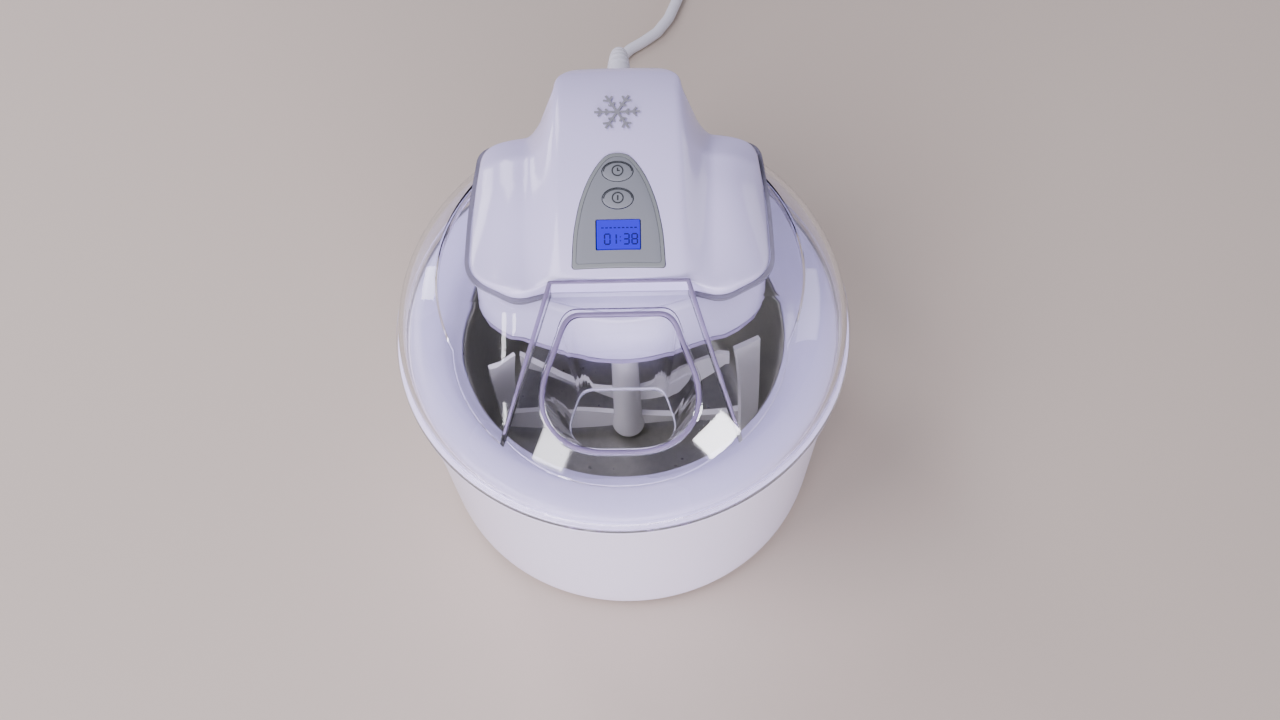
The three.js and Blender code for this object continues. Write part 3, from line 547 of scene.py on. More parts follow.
def strip_faces(count):
    """Faces of an open strip with square edges: four rows of vertices, one for each edge, and two ends."""
    sides = [(row * count + k, row * count + k + 1, (row + 1) % 4 * count + k + 1, (row + 1) % 4 * count + k)
             for row in range(4) for k in range(count - 1)]
    start = (0, count, 2 * count, 3 * count)
    end = tuple(i + count - 1 for i in reversed(start))
    return sides + [start, end]


def at_height(path, z):
    return np.column_stack([path, np.full(len(path), z, float)])


def prism_mesh(path, bottom, top):
    """Vertices and faces of a closed outline raised between two heights."""
    return np.vstack([at_height(path, bottom), at_height(path, top)]), stacked(2, len(path))


def prism(path, bottom, top):
    return tool(*prism_mesh(path, bottom, top))


def side_prism(points, half):
    """A side view of (y, z) points, carried across the width."""
    return tool([(x, y, z) for x in (-half, half) for y, z in points], stacked(2, len(points)))


def combine(target, operation, *others):
    """Boolean the others into the target, and delete them."""
    for other in others:
        change = target.modifiers.new("cut", "BOOLEAN")
        change.operation = operation
        change.solver = "MANIFOLD"
        change.object = other
        graph = bpy.context.evaluated_depsgraph_get()
        mesh = bpy.data.meshes.new_from_object(target.evaluated_get(graph))
        target.modifiers.clear()
        target.data = mesh
        bpy.data.objects.remove(other)
    return target


def inside(points, path):
    """Which points lie inside a closed path."""
    x, y = points[:, 0], points[:, 1]
    hit = np.zeros(len(points), bool)
    for (x1, y1), (x2, y2) in zip(path, np.roll(path, -1, axis=0)):
        crosses = (y1 > y) != (y2 > y)
        with np.errstate(divide="ignore", invalid="ignore"):
            edge_x = (x2 - x1) * (y - y1) / (y2 - y1) + x1
        hit ^= crosses & (x < edge_x)
    return hit


def distance_to(points, path):
    """Distance from each point to a closed path."""
    best = np.full(len(points), np.inf)
    for a, b in zip(path, np.roll(path, -1, axis=0)):
        along = b - a
        share = np.clip(((points - a) @ along) / max(along @ along, 1e-12), 0, 1)
        best = np.minimum(best, np.linalg.norm(points - a - share[:, None] * along, axis=1))
    return best


def triangulate(rings, spacing, outer, holes=()):
    """Triangles over the plan between an outer path and holes, with every ring kept as an edge loop.

    Returns the points, the faces and the ring indices."""
    low, high = outer.min(axis=0), outer.max(axis=0)
    xs = np.arange(low[0], high[0], spacing)
    ys = np.arange(low[1], high[1], spacing)
    grid = np.array([(x + (j % 2) * spacing / 2, y) for j, y in enumerate(ys) for x in xs])
    keep = inside(grid, outer)
    for ring in rings:
        keep &= distance_to(grid, ring) > spacing * 0.75
    keep &= distance_to(grid, outer) > GRID_MARGIN
    for hole in holes:
        keep &= ~inside(grid, hole)
    points, edges, index = [], [], []
    for ring in rings:
        first = len(points)
        index.append(np.arange(first, first + len(ring)))
        points.extend(ring)
        edges.extend((first + i, first + (i + 1) % len(ring)) for i in range(len(ring)))
    points.extend(grid[keep])
    found, _, faces, originals, _, _ = delaunay_2d_cdt([Vector(p) for p in points], edges, [], 0, 1e-7)
    found = np.array([tuple(p) for p in found])
    lookup = {old: new for new, olds in enumerate(originals) for old in olds}
    index = [np.array([lookup[i] for i in ring]) for ring in index]
    middles = np.array([found[list(face)].mean(axis=0) for face in faces])
    wanted = inside(middles, outer)
    for hole in holes:
        wanted &= ~inside(middles, hole)
    return found, [tuple(face) for face, use in zip(faces, wanted) if use], index


# ---------------------------------------------------------------- head surface

def head_outline(grow):
    return rounded_path(offset(mirrored(HEAD_CORNERS), grow), pieces=8)


def smoothstep(value, low, high):
    t = np.clip((value - low) / (high - low), 0, 1)
    return t * t * (3 - 2 * t)


def crown_z(y):
    y = np.asarray(y, float)
    ahead = np.clip((CROWN["peak_y"] - y) / (CROWN["peak_y"] - CROWN["front_y"]), 0, None)
    behind = np.clip((y - CROWN["peak_y"]) / (CROWN["rear_y"] - CROWN["peak_y"]), 0, 1)
    fall = 1 - (1 - behind ** 2.3) ** (1 / 2.3)
    return CROWN["peak_z"] - CROWN["drop"] * (ahead ** 1.85 + fall)


def crown_angle(y):
    return float(np.arctan2(crown_z(y + 0.5) - crown_z(y - 0.5), 1))


def ridge_z(x, y):
    return crown_z(y) - RIDGE["camber"] * (np.asarray(x) / RIDGE["half"]) ** 2


def wing_z(x, y):
    inward = np.clip((WING["edge_x"] - np.abs(x)) / (WING["edge_x"] - RIDGE["foot"]), 0, 1)
    rise = WING["front_rise"] + (WING["rear_rise"] - WING["front_rise"]) * smoothstep(y, -16, 45)
    rear_fade = np.clip((80 - y) / 22, 0, 1) ** 0.6
    return WING["edge_z"] + rise * (1 - (1 - inward) ** 2.2) * rear_fade


def head_z(x, y):
    blend = smoothstep(np.abs(x), RIDGE["flat"], RIDGE["foot"])
    ridge = ridge_z(x, y)
    return ridge * (1 - blend) + np.minimum(wing_z(x, y), ridge) * blend


def head_path(grow):
    return resampled(head_outline(grow), 1.6)


def panel_corners(inset):
    arch = []
    for share in (0.28, 0.52, 0.72, 0.87, 0.965):
        half = PANEL["half"] * (1 - share ** 2.1) ** 0.62
        arch.append((half, PANEL["front_y"] + (PANEL["apex_y"] - PANEL["front_y"]) * share, 5))
    return offset(mirrored([(PANEL["half"], PANEL["front_y"], 2)] + arch), -inset)


def panel_path(inset):
    return resampled(rounded_path(panel_corners(inset)), 1.2)


def ellipse_path(y, half_x, half_y):
    angles = np.arange(56) * 2 * np.pi / 56
    return np.column_stack([half_x * np.cos(angles), y + half_y * np.sin(angles)])


def box_path(y, half_x, half_y, round_size):
    corners = [(half_x, y - half_y, round_size), (half_x, y + half_y, round_size)]
    return rounded_path(mirrored(corners), pieces=4)


def skin_solid(outer_path_at, round_size, height, floor, spacing, holes=()):
    """A closed solid under a height function, with a rounded top edge. Holes go right through.

    outer_path_at(d) gives the outline moved inward by d."""
    insets = round_size * (1 - np.cos(np.linspace(0, np.pi / 2, 5)))
    rings = [outer_path_at(d) for d in insets]
    drops = round_size - np.sqrt(np.clip(round_size ** 2 - (round_size - insets) ** 2, 0, None))
    points, faces, index = triangulate(rings + list(holes), spacing, rings[0], holes)
    z = height(points[:, 0], points[:, 1])
    for ring, drop in zip(index, drops):
        z[ring] -= drop
    top = np.column_stack([points, z])
    bottom = np.column_stack([points, floor(points[:, 0], points[:, 1])])
    count = len(points)
    all_faces = list(faces) + [tuple(count + i for i in reversed(face)) for face in faces]
    for ring in [index[0]] + index[len(rings):]:
        for a, b in zip(ring, np.roll(ring, -1)):
            all_faces.append((a, b, count + b, count + a))
    return np.vstack([top, bottom]), all_faces


# ---------------------------------------------------------------- cord and plug

def coil_points():
    """Turns of the coil: an outer and an inner one on the table, and one on top that swings out."""
    low, high = COIL["bottom"] + 3.35, COIL["bottom"] + 9.2
    middle = (COIL["inner"] + COIL["outer"]) / 2
    outer, inner, leaving = middle + 3.45, middle - 3.45, COIL["outer"] - 0.1
    points = []
    turns, per_turn = 3.25, 18
    for i in range(int(turns * per_turn) + 1):
        turn = i / per_turn
        radius = outer + (inner - outer) * smoothstep(turn, 0.75, 1.1)
        radius += (middle - inner) * smoothstep(turn, 1.8, 2.15)
        radius += (leaving - middle) * smoothstep(turn, 2.8, 3.02)
        z = low + (high - low) * smoothstep(turn, 1.75, 2.1)
        angle = 2 * math.pi * turn
        points.append((COIL["x"] + radius * math.cos(angle), COIL["y"] + radius * math.sin(angle), float(z)))
    return points


def add_cord():
    route = CORD_ROUTE[:-1] + [(35.8, 350, 4.5)] + coil_points()[1:] + [(-17, 414.3, 10.2), (-26, 412.2, 9.0)]
    route += TAIL_ROUTE
    curve = bpy.data.curves.new("mains_cord", "CURVE")
    curve.dimensions = "3D"
    curve.bevel_depth = CORD["radius"] * MM
    curve.bevel_resolution = 6
    curve.use_fill_caps = True
    spline = curve.splines.new("NURBS")
    spline.order_u = 4
    spline.use_endpoint_u = True
    spline.resolution_u = 6
    spline.points.add(len(route) - 1)
    for point, place in zip(spline.points, route):
        point.co = (*(np.array(place) * MM), 1)
    return dress(placed("mains_cord", curve), "mains_cord", "cord_white", "lid_unit",
                 ("cord_run", "cord_coil", "cord_tail"))


def add_strain_relief():
    """A tapered sleeve with flex grooves that leaves the rear wall and droops with the cord.

    Its stations are (y, z, radius, pitch), where the pitch turns its axis down."""
    r = RELIEF
    rear, z = r["wall_y"], r["z"]
    inner_end = [(-5.4, 6.2), (-5.2, 6.9), (-3.4, 6.9), (-3.3, 4.6), (0.05, 4.6), (0.1, 6.1), (0.6, 6.35)]
    stations = [(rear + back, z, radius, 0) for back, radius in inner_end]
    for share in np.linspace(0, 1, 61):
        pitch = share * r["bend_angle"]
        radius = RELIEF_RADIUS["wall"] + (RELIEF_RADIUS["tip"] - RELIEF_RADIUS["wall"]) * share - 0.1
        groove = max(0.0, math.sin(share * 6 * 2 * math.pi)) ** 0.5 if 0.1 < share < 0.95 else 0.0
        stations.append((r["bend_y"] + r["bend_radius"] * math.sin(pitch),
                         z - r["bend_radius"] * (1 - math.cos(pitch)), radius - 0.75 * groove, pitch))
    sides = 40
    angles = np.arange(sides) * 2 * math.pi / sides
    verts = np.vstack([np.column_stack([
        radius * np.cos(angles), y + radius * np.sin(angles) * math.sin(pitch),
        z + radius * np.sin(angles) * math.cos(pitch),
    ]) for y, z, radius, pitch in stations])
    return new_object("strain_relief_sleeve", verts, stacked(len(stations), sides), "cord_white",
                      "lid_unit", ("strain_relief",), 40)


def add_plug():
    y, z = PLUG["y"], PLUG["z"]
    sections = [(-60.3, 3.9, 3.9), (-64, 4.1, 4.1), (-70, 4.9, 4.9), (-76, 6.6, 5.8), (-79, 9.6, 6.8),
                (-82, 10.8, 7.7), (-90, 10.9, 7.9), (-97, 10.2, 7.4), (-102, 10.9, 7.9), (-104, 10.7, 7.7)]
    sides = 40
    verts = []
    for x, half_y, half_z in sections:
        power = 2.0 if half_y < 6 else 4.0
        for i in range(sides):
            angle = 2 * math.pi * i / sides
            c, s = math.cos(angle), math.sin(angle)
            verts.append((x, y + half_y * math.copysign(abs(c) ** (2 / power), c),
                          z + half_z * math.copysign(abs(s) ** (2 / power), s)))
    body = new_object("plug_moulding", verts, stacked(len(sections), sides), "cord_white", "lid_unit",
                      ("plug_body",), 50)
    add_bevel(body, 0.6, 45, 3)
    return [body] + [add_blade(node) for node in ("plug_blade_1", "plug_blade_2")]


def add_blade(node):
    """A flat blade with its free end's corners cut."""
    low, high = node_box(node)
    outline = [(low[0], low[2] + 1.6, 1.2), (low[0] + 1.6, low[2], 1.2), (high[0], low[2], 0),
               (high[0], high[2], 0), (low[0] + 1.6, high[2], 1.2), (low[0], high[2] - 1.6, 1.2)]
    path = rounded_path(outline, pieces=4)
    verts = [(x, y, z) for y in (low[1], high[1]) for x, z in path]
    return new_object(f"{node}_cut", verts, stacked(2, len(path)), "brass", "lid_unit", (node,))


def add_coil_tie():
    """A soft strap closed round the coil."""
    middle = (COIL["inner"] + COIL["outer"]) / 2
    half = (COIL["outer"] - COIL["inner"]) / 2 + 0.9
    corners = [(half, 0.15, 3.2), (half, 11.5, 3.0), (4.4, COIL["top"] + 1.0, 3.0)]
    outer = rounded_path(mirrored(corners), pieces=8)
    inner = rounded_path(offset(mirrored(corners), -0.8), pieces=8)
    width = 2.6
    count = len(outer)
    edges = ((outer, -width), (outer, width), (inner, width), (inner, -width))
    verts = np.vstack([np.column_stack([path[:, 0], np.full(count, w), path[:, 1]]) for path, w in edges])
    turn = np.array(Matrix.Rotation(0.8 * math.pi, 3, "Z"))
    verts = (verts + np.array((middle, 0, 0))) @ turn.T + np.array((COIL["x"], COIL["y"], 0))
    return new_object("coil_tie_strap", verts, quads(4, count, closed=True), "black", "lid_unit",
                      ("coil_tie",), 50)


# ---------------------------------------------------------------- bucket, bowl and paddle

def add_bucket():
    ledge = RIM_Z - 6
    profile = [
        (0, 3, 0), (91, 3, 3), (97.4, 4.4, 3), (98.8, 12, 3), (109.7, ledge - 6, 1.2),
        (110.9, ledge - 5.6, 0.8), (111.4, ledge, 1.0), (114.4, ledge + 2.2, 1.5), (114.5, RIM_Z, 0.6),
        (106.4, RIM_Z, 0.6), (105.8, ledge, 2), (95.9, 12, 4), (91, 6, 4), (0, 6, 0),
    ]
    lathe("bucket_shell", profile, 160, "bucket_white", "base", ("outer_bucket",))
    foot = [(0, 0.5, 0), (4.6, 0.5, 0.4), (5.2, 0, 0.5), (6.4, 0, 0.8), (6.95, 0.9, 0.8), (6.95, 2.7, 0.2),
            (0, 2.7, 0)]
    for i in range(4):
        node = f"rubber_foot_{i + 1}"
        low, high = node_box(node)
        place = (low[:2] + high[:2]) / 2
        lathe(f"{node}_moulded", foot, 40, "rubber", "base", (node,), place)


def add_bowl():
    shell = [
        (0, 12, 0), (84, 12, 3), (90, 16, 4), (101.2, 116, 3), (102.6, 122.3, 0.8), (109, 122.3, 0.5),
        (109.6, 124.5, 1.5), (108.4, 127.3, 2.5), (102, 128.3, 4), (94, 127.7, 4), (88, 124.4, 5),
        (84.4, 120.6, 2.4), (82, 118.6, 1.2), (82, 116.5, 0.3), (89, 116.5, 0), (98.6, 113, 1),
        (87.6, 18.5, 3), (82, 14.5, 3), (0, 14.5, 0),
    ]
    lathe("freezer_bowl_moulding", shell, 160, "bowl_white_painted_shade", "freezer_bowl",
          ("freezer_bowl_shell",))
    pan = [
        (0, 18.4, 0), (66, 18.4, 5), (75.1, 27, 5), (81.2, 112.6, 1), (88, 113.8, 0.3), (88, 116.2, 0.3),
        (81.2, 116.2, 1.5), (79.6, 111.5, 3), (73.5, 28, 6), (65, 20, 6), (0, 20, 0),
    ]
    lathe("freezer_bowl_pan", pan, 128, "aluminium", "freezer_bowl", ("freezer_bowl_liner",))


def sweep_plate(stations, thickness):
    """A plate through stations, each one a pair of edge points (x, y, z), with a thickness."""
    left = np.array([a for a, _ in stations], float)
    right = np.array([b for _, b in stations], float)
    normal = np.cross(np.gradient((left + right) / 2, axis=0), right - left)
    normal /= np.linalg.norm(normal, axis=1)[:, None]
    half = normal * thickness / 2
    return np.vstack([left + half, right + half, right - half, left - half]), strip_faces(len(stations))


def add_paddle():
    """A white column with two curved blades that scrape the wall, each held by an arm and a brace."""
    column = [
        (0, 23, 0), (8, 23, 1.5), (9, 26, 2), (7.6, 38, 3), (7.0, 112, 2), (8.8, 121, 2), (8.8, 142.3, 1),
        (5.0, 142.3, 0.6), (5.0, 127, 0), (0, 127, 0),
    ]
    body = tool(*turned(rounded_path(column, closed=False), 48))
    smooth(body, 35)
    pieces = []
    for side in (1, -1):
        blade, arm, brace = [], [], []
        for t in np.linspace(0, 1, 15):
            z = 26 + 78 * t
            lean = 4.5 * math.sin(math.pi * (t - 0.5)) * side
            outer_x = 69.6 - 1.2 * (1 - t) ** 3
            inner_x = outer_x - 9 - 4 * t * t
            blade.append(((side * outer_x, lean + side * 2.2, z), (side * inner_x, lean - side * 3.0, z)))
        for t in np.linspace(0, 1, 13):
            x = 4 + 61 * t
            twist = 3.5 * math.sin(math.pi * t)
            arm.append(((side * x, side * twist * 0.6, 25.6), (side * x, -side * twist * 0.6, 37 + 2 * t)))
        for t in np.linspace(0, 1, 15):
            x = 5 + 49 * t
            z = 62 + 34 * t ** 1.4
            brace.append(((side * x, side * 5 * math.sin(math.pi * t) * 0.5, z + 7 - 2 * t),
                          (side * x, side * -3.5 * math.sin(math.pi * t), z - 9 + 3 * t)))
        pieces += [tool(*sweep_plate(stations, 3.0)) for stations in (blade, arm, brace)]
    combine(body, "UNION", *pieces)
    finish_edges(body, 0.7, 28, 3)
    dress(body, "mixing_paddle_moulding", "paddle_white", "paddle", ("mixing_paddle",))


# ---------------------------------------------------------------- clear lid

def dome_column(inset, foot):
    """The dome's shoulder, carried up as a column. The foot is the profile below the shoulder."""
    reach = SHOULDER["radius"] - inset
    end = math.acos((COLUMN_RADIUS - SHOULDER["centre_radius"]) / SHOULDER["radius"])
    angles = np.linspace(-0.13, end, 26)
    arc = [(SHOULDER["centre_radius"] + reach * math.cos(a), SHOULDER["centre_z"] + reach * math.sin(a))
           for a in angles]
    return tool(*turned(foot + arc + [(arc[-1][0], COLUMN_TOP), (0, COLUMN_TOP)], 180))


def deck_z(y):
    slope = (TOP_Z - DECK["lip_z"]) / (DECK["rear_y"] - DECK["lip_y"])
    return DECK["lip_z"] + slope * (y - DECK["lip_y"])


def under_deck(drop, bottom):
    """Everything under the level top and the sloping front deck, lowered by a drop."""
    reach, top = 125, TOP_Z - drop
    return side_prism([(-reach, bottom), (reach, bottom), (reach, top), (DECK["rear_y"], top),
                       (-reach, deck_z(-reach) - drop)], reach)


def under_ramp(drop, bottom, rear_y):
    """Everything under the ramp's top, lowered by a drop, in front of rear_y."""
    front_y, half = -125, 80
    return side_prism([(front_y, bottom), (rear_y, bottom), (rear_y, RAMP["rear_z"] - drop),
                       (front_y, ramp_z(front_y) - drop)], half)


def ramp_path(inset):
    corners = mirrored([(RAMP["front_half"], RAMP["front_y"], 0), (RAMP["rear_half"], RAMP["rear_y"], 0)])
    return rounded_path(offset(corners, -inset))


def ramp_inside_path():
    """The ramp's inside in plan. It stays open at the back, where the head's front wall closes it."""
    path = ramp_path(LID_WALL)
    path[path[:, 1] > RAMP["rear_y"] - 2 * LID_WALL, 1] += 2 * LID_WALL
    return path


def chute_path(grow, z):
    """The chute's outline at a height: it widens by its own amount on each side."""
    g = CHUTE_GROWTH
    path = rounded_path(offset(mirrored(CHUTE_CORNERS[::-1]), grow), pieces=8)
    rise = z - CHUTE["throat_z"]
    dy = path[:, 1] - CHUTE["centre_y"]
    growth = np.where(dy < 0, g["front"], g["rear"])
    widening = g["side_rear"] + (g["side_front"] - g["side_rear"]) * smoothstep(-path[:, 1], 41, 66)
    return np.column_stack([path[:, 0] * (1 + widening * rise), CHUTE["centre_y"] + dy * (1 + growth * rise)])


def chute_prism(grow, bottom, top):
    rings = [at_height(chute_path(grow, z), z) for z in (bottom, top)]
    return tool(np.vstack(rings), stacked(2, len(rings[0])))


def ramp_z(y):
    return RAMP["rear_z"] + RAMP["slope"] * (y - RAMP["rear_y"])


def chute_mouth(grow):
    """The loop where the chute's wall meets the ramp."""
    points = []
    for low, high in zip(chute_path(grow, 150), chute_path(grow, 200)):
        a, b = np.array((*low, 150)), np.array((*high, 200))
        gap_a, gap_b = a[2] - ramp_z(a[1]), b[2] - ramp_z(b[1])
        points.append(a + (b - a) * gap_a / (gap_a - gap_b))
    return np.array(points)


def tube(line, radii, up=(0, 0, 1), closed=False):
    """A round tube along a line, with its own radius at each point. A closed line has no ends."""
    sides = 12
    line = np.array(line, float)
    ahead = np.roll(line, -1, axis=0) - np.roll(line, 1, axis=0) if closed else np.gradient(line, axis=0)
    ahead /= np.linalg.norm(ahead, axis=1)[:, None]
    side = np.cross(ahead, up)
    side /= np.linalg.norm(side, axis=1)[:, None]
    rise = np.cross(side, ahead)
    angles = np.arange(sides)[:, None] * 2 * math.pi / sides
    verts = np.vstack([p + r * (np.cos(angles) * a + np.sin(angles) * b)
                       for p, r, a, b in zip(line, radii, side, rise)])
    return tool(verts, quads(len(line), sides, closed) + ([] if closed else end_caps(len(line), sides)))


def loop_tube(loop, radius):
    """An even tube round a closed loop that lies along the ramp."""
    return tube(loop, np.full(len(loop), radius), (0, -RAMP["slope"], 1), closed=True)


def head_prism(grow, bottom, top):
    return prism(head_outline(grow), bottom, top)


def add_lid():
    """The clear moulding: an outer solid less its inside, with the chute's wall added and openings cut."""
    flange = [(0, FLANGE_BOTTOM), (FLANGE_RADIUS, FLANGE_BOTTOM), (FLANGE_RADIUS, FLANGE_BOTTOM + 4),
              (113.2, FLANGE_BOTTOM + 4)]
    outer = combine(dome_column(0, flange), "INTERSECT", under_deck(0, 110))
    ramp = combine(under_ramp(0, 130, RAMP["rear_y"]), "INTERSECT",
                   prism(ramp_path(0), TOOL_BOTTOM, COLUMN_TOP), dome_column(0, flange))
    combine(outer, "UNION", ramp, head_prism(COLLAR["wall"], COLLAR["bottom"], COLLAR["top"]))
    chute = combine(chute_prism(CHUTE["wall"], CHUTE["throat_z"], 200), "INTERSECT",
                    under_ramp(0.02, 110, RAMP["rear_y"] - 3))
    combine(outer, "DIFFERENCE", lid_inside())
    combine(outer, "UNION", chute)
    aperture = rounded_path(mirrored([(36, 14, 6), (36, 80, 6)]))
    combine(outer, "DIFFERENCE", chute_prism(0, CHUTE["throat_z"] - 1, 205),
            head_prism(0.3, TOP_Z, TOP_Z + 20), prism(aperture, 170, TOP_Z + 5))
    finish_edges(outer, 0.6, 14, 2)
    dress(outer, "clear_dome_lid", "clear", "lid_unit", ("clear_lid",))


def lid_inside():
    """The space under the clear moulding: the dome's, the ramp's and the collar's."""
    space = combine(dome_column(LID_WALL, INNER_FOOT), "INTERSECT", under_deck(COLLAR["wall"], TOOL_BOTTOM))
    ramp = combine(under_ramp(LID_WALL + 0.2, 110, RAMP["rear_y"] + 0.3), "INTERSECT",
                   prism(ramp_inside_path(), TOOL_BOTTOM, COLUMN_TOP), dome_column(LID_WALL, INNER_FOOT))
    return combine(space, "UNION", ramp, head_prism(0, TOOL_BOTTOM, TOP_Z - COLLAR["wall"]))


def edge_piece(name, made, look):
    """Turn a bare object into a smooth piece of the lid."""
    smooth(made, 40)
    dress(made, name, look, "lid_unit")


def dome_height(x, y):
    """Height of the dome's outer shoulder, where it lies over a point of the plan."""
    reach = math.hypot(x, y)
    if reach < COLUMN_RADIUS:
        return COLUMN_TOP
    out = reach - SHOULDER["centre_radius"]
    return SHOULDER["centre_z"] + math.sqrt(max(0.0, SHOULDER["radius"] ** 2 - out ** 2))


def add_lid_edges():
    """Edges of the clear moulding, where its violet-grey body tint shows."""
    edge_piece("chute_rim_bead", loop_tube(chute_mouth(1.0), 1.2), "clear_edge")
    throat = at_height(chute_path(CHUTE["wall"] / 2, CHUTE["throat_z"]), CHUTE["throat_z"] + 0.6)
    edge_piece("chute_throat_edge", loop_tube(throat, 0.75), "pale_edge")
    for name, side in (("right", 1), ("left", -1)):
        line, radii = [], []
        for t in np.linspace(0.012, 1, 60):
            x = side * (RAMP["rear_half"] + (RAMP["front_half"] - RAMP["rear_half"]) * t)
            y = RAMP["rear_y"] + (RAMP["front_y"] - RAMP["rear_y"]) * t
            if ramp_z(y) > dome_height(x, y) - 0.4:
                break
            line.append((x - side * 0.9, y, ramp_z(y) - 0.75))
            radii.append(1.15 - 0.75 * t)
        edge_piece(f"ramp_edge_{name}", tube(line, radii), "clear_edge")
    half = RAMP["rear_half"] - 0.6
    back = [(x, RAMP["rear_y"] - 1.0, RAMP["rear_z"] - 0.85) for x in np.linspace(-half, half, 24)]
    edge_piece("ramp_edge_back", tube(back, np.full(24, 0.85)), "clear_edge")
    add_collar_band()


def add_collar_band():
    """The collar's top edge, left out where the ramp covers it."""
    outer_band, inner_band = head_path(COLLAR["wall"] - 0.05), head_path(0.45)
    top, count = 179.35, 420
    edges = ((inner_band, top), (outer_band, top), (outer_band, top - 1.6), (inner_band, top - 1.6))
    loops = [at_height(even_loop(path, count), z) for path, z in edges]
    hidden = (np.abs(loops[0][:, 0]) < RAMP["rear_half"] - 0.5) & (loops[0][:, 1] < -8)
    first = np.flatnonzero(~hidden & np.roll(hidden, 1))[0]
    order = np.roll(np.arange(count), -first)[:count - hidden.sum()]
    band = tool(np.vstack([loop[order] for loop in loops]), strip_faces(len(order)))
    edge_piece("collar_top_band", band, "band_edge")


def even_loop(path, count):
    """Points evenly spaced along a closed path, from its foremost point."""
    first = int(np.argmin(path[:, 1] + 0.01 * np.abs(path[:, 0])))
    return evenly(np.roll(path, -first, axis=0), count)


def evenly(path, count):
    """Points evenly spaced along a closed path, from its first point."""
    closed = np.vstack([path, path[:1]])
    length = np.concatenate([[0], np.cumsum(np.linalg.norm(np.diff(closed, axis=0), axis=1))])
    places = np.arange(count) / count * length[-1]
    return np.column_stack([np.interp(places, length, closed[:, k]) for k in (0, 1)])


# ---------------------------------------------------------------- motor head

def add_head_cover():
    recess = panel_path(-0.3)
    verts, faces = skin_solid(lambda d: head_path(-d), HEAD_EDGE_ROUND, head_z,
                              lambda x, y: np.full(len(x), HEAD_BASE), 2.2, [recess])
    new_object("motor_head_shell", verts, faces, "head_white", "lid_unit", ("motor_head_cover",), 50)


def ridge_plate(name, outer_at, holes, high, round_size, spacing, look, node):
    """A plate that follows the ridge, from 1 mm under it to a height over it."""
    verts, faces = skin_solid(outer_at, round_size, lambda x, y: ridge_z(x, y) + high,
                              lambda x, y: ridge_z(x, y) - 1, spacing, holes)
    new_object(name, verts, faces, look, "lid_unit", (node,), 50)


def add_control_panel():
    lcd_hole = resampled(box_path(LCD["y"], LCD["width"] / 2 + 0.3, LCD["depth"] / 2 + 0.3, 0.8), 1.0)
    keys = [ellipse_path(BUTTON[f"{name}_y"], BUTTON["width"] / 2 + 0.05, BUTTON["depth"] / 2 + 0.05)
            for name in ("timer", "power")]
    ridge_plate("control_panel_face", lambda d: panel_path(PANEL["border"] + 0.1 + d), [lcd_hole] + keys,
                0.25, 0.2, 1.5, "panel_grey", "control_panel_plate")
    ridge_plate("panel_border", panel_path, [panel_path(PANEL["border"])],
                0.45, 0.35, 1.2, "border_grey", "panel_bezel")


def tilted(verts, y):
    """Vertices of a flat part, moved onto the ridge's centre line at y and tilted with it."""
    angle = crown_angle(y)
    verts = np.asarray(verts, float)
    along, up = verts[:, 1], verts[:, 2]
    return np.column_stack([verts[:, 0], y + along * math.cos(angle) - up * math.sin(angle),
                            float(crown_z(y)) + along * math.sin(angle) + up * math.cos(angle)])


def join_parts(parts):
    """One set of vertices and faces from several."""
    verts, faces, first = [], [], 0
    for part_verts, part_faces in parts:
        verts.append(np.asarray(part_verts, float))
        faces += [tuple(int(i) + first for i in face) for face in part_faces]
        first += len(part_verts)
    return np.vstack(verts), faces


def bar(x1, y1, x2, y2, width, bottom, top):
    """A flat bar between two points."""
    a, b = np.array((x1, y1), float), np.array((x2, y2), float)
    along = (b - a) / np.linalg.norm(b - a)
    side = np.array((-along[1], along[0])) * width / 2
    path = np.array([a - side, b - side, b + side, a + side])
    return prism_mesh(path, bottom, top)


def ring(y, radius, width, bottom, top, share=1.0, squash=1.0):
    """A flat ring with square edges, or its first share of a turn."""
    count = 48
    whole = share == 1.0
    angles = np.linspace(0, 2 * math.pi * share, count, endpoint=not whole)
    inner, outer = [np.column_stack([r * np.cos(angles), y + r * np.sin(angles) * squash])
                    for r in (radius - width / 2, radius + width / 2)]
    loops = [at_height(path, z) for path, z in ((inner, top), (outer, top), (outer, bottom), (inner, bottom))]
    return np.vstack(loops), quads(4, count, closed=True) if whole else strip_faces(count)


def add_buttons():
    """Two low oval keys, each with an icon: a clock face and a power mark."""
    profile = [(0, -5, 0), (2.3, -5, 0.3), (2.3, -3, 0), (7.3, -3, 0.3), (7.55, -0.5, 0.3),
               (7.3, 0.25, 0.5), (4.5, 0.6, 2), (0, 0.68, 0)]
    squash = (BUTTON["depth"] - 0.5) / (BUTTON["width"] - 0.5)
    for name, y in (("timer", BUTTON["timer_y"]), ("power", BUTTON["power_y"])):
        verts, faces = turned(rounded_path(profile, closed=False, pieces=4), 64)
        new_object(f"{name}_key_cap", tilted(verts * (1, squash, 1), y), faces, "panel_grey",
                   f"{name}_key", (f"{name}_button",), 40)
        low, high = 0.55, 0.74
        icon = [ring(0.2, 2.6, 0.62, low, high)]
        if name == "timer":
            icon += [bar(0, 0.0, 0, 1.7, 0.6, low, high), bar(-0.3, 0.2, 1.2, 0.2, 0.6, low, high)]
        else:
            icon += [bar(0, -1.1, 0, 1.5, 0.75, low, high)]
        icon.append(ring(0, 6.85, 0.55, -0.1, 0.5, 0.5, squash * 0.98))
        verts, faces = join_parts(icon)
        new_object(f"{name}_icon", tilted(verts, y), faces, "print_dark", f"{name}_key", sharp=30)


SEGMENTS = {"0": "abcdef", "1": "bc", "3": "abgcd", "8": "abcdefg"}


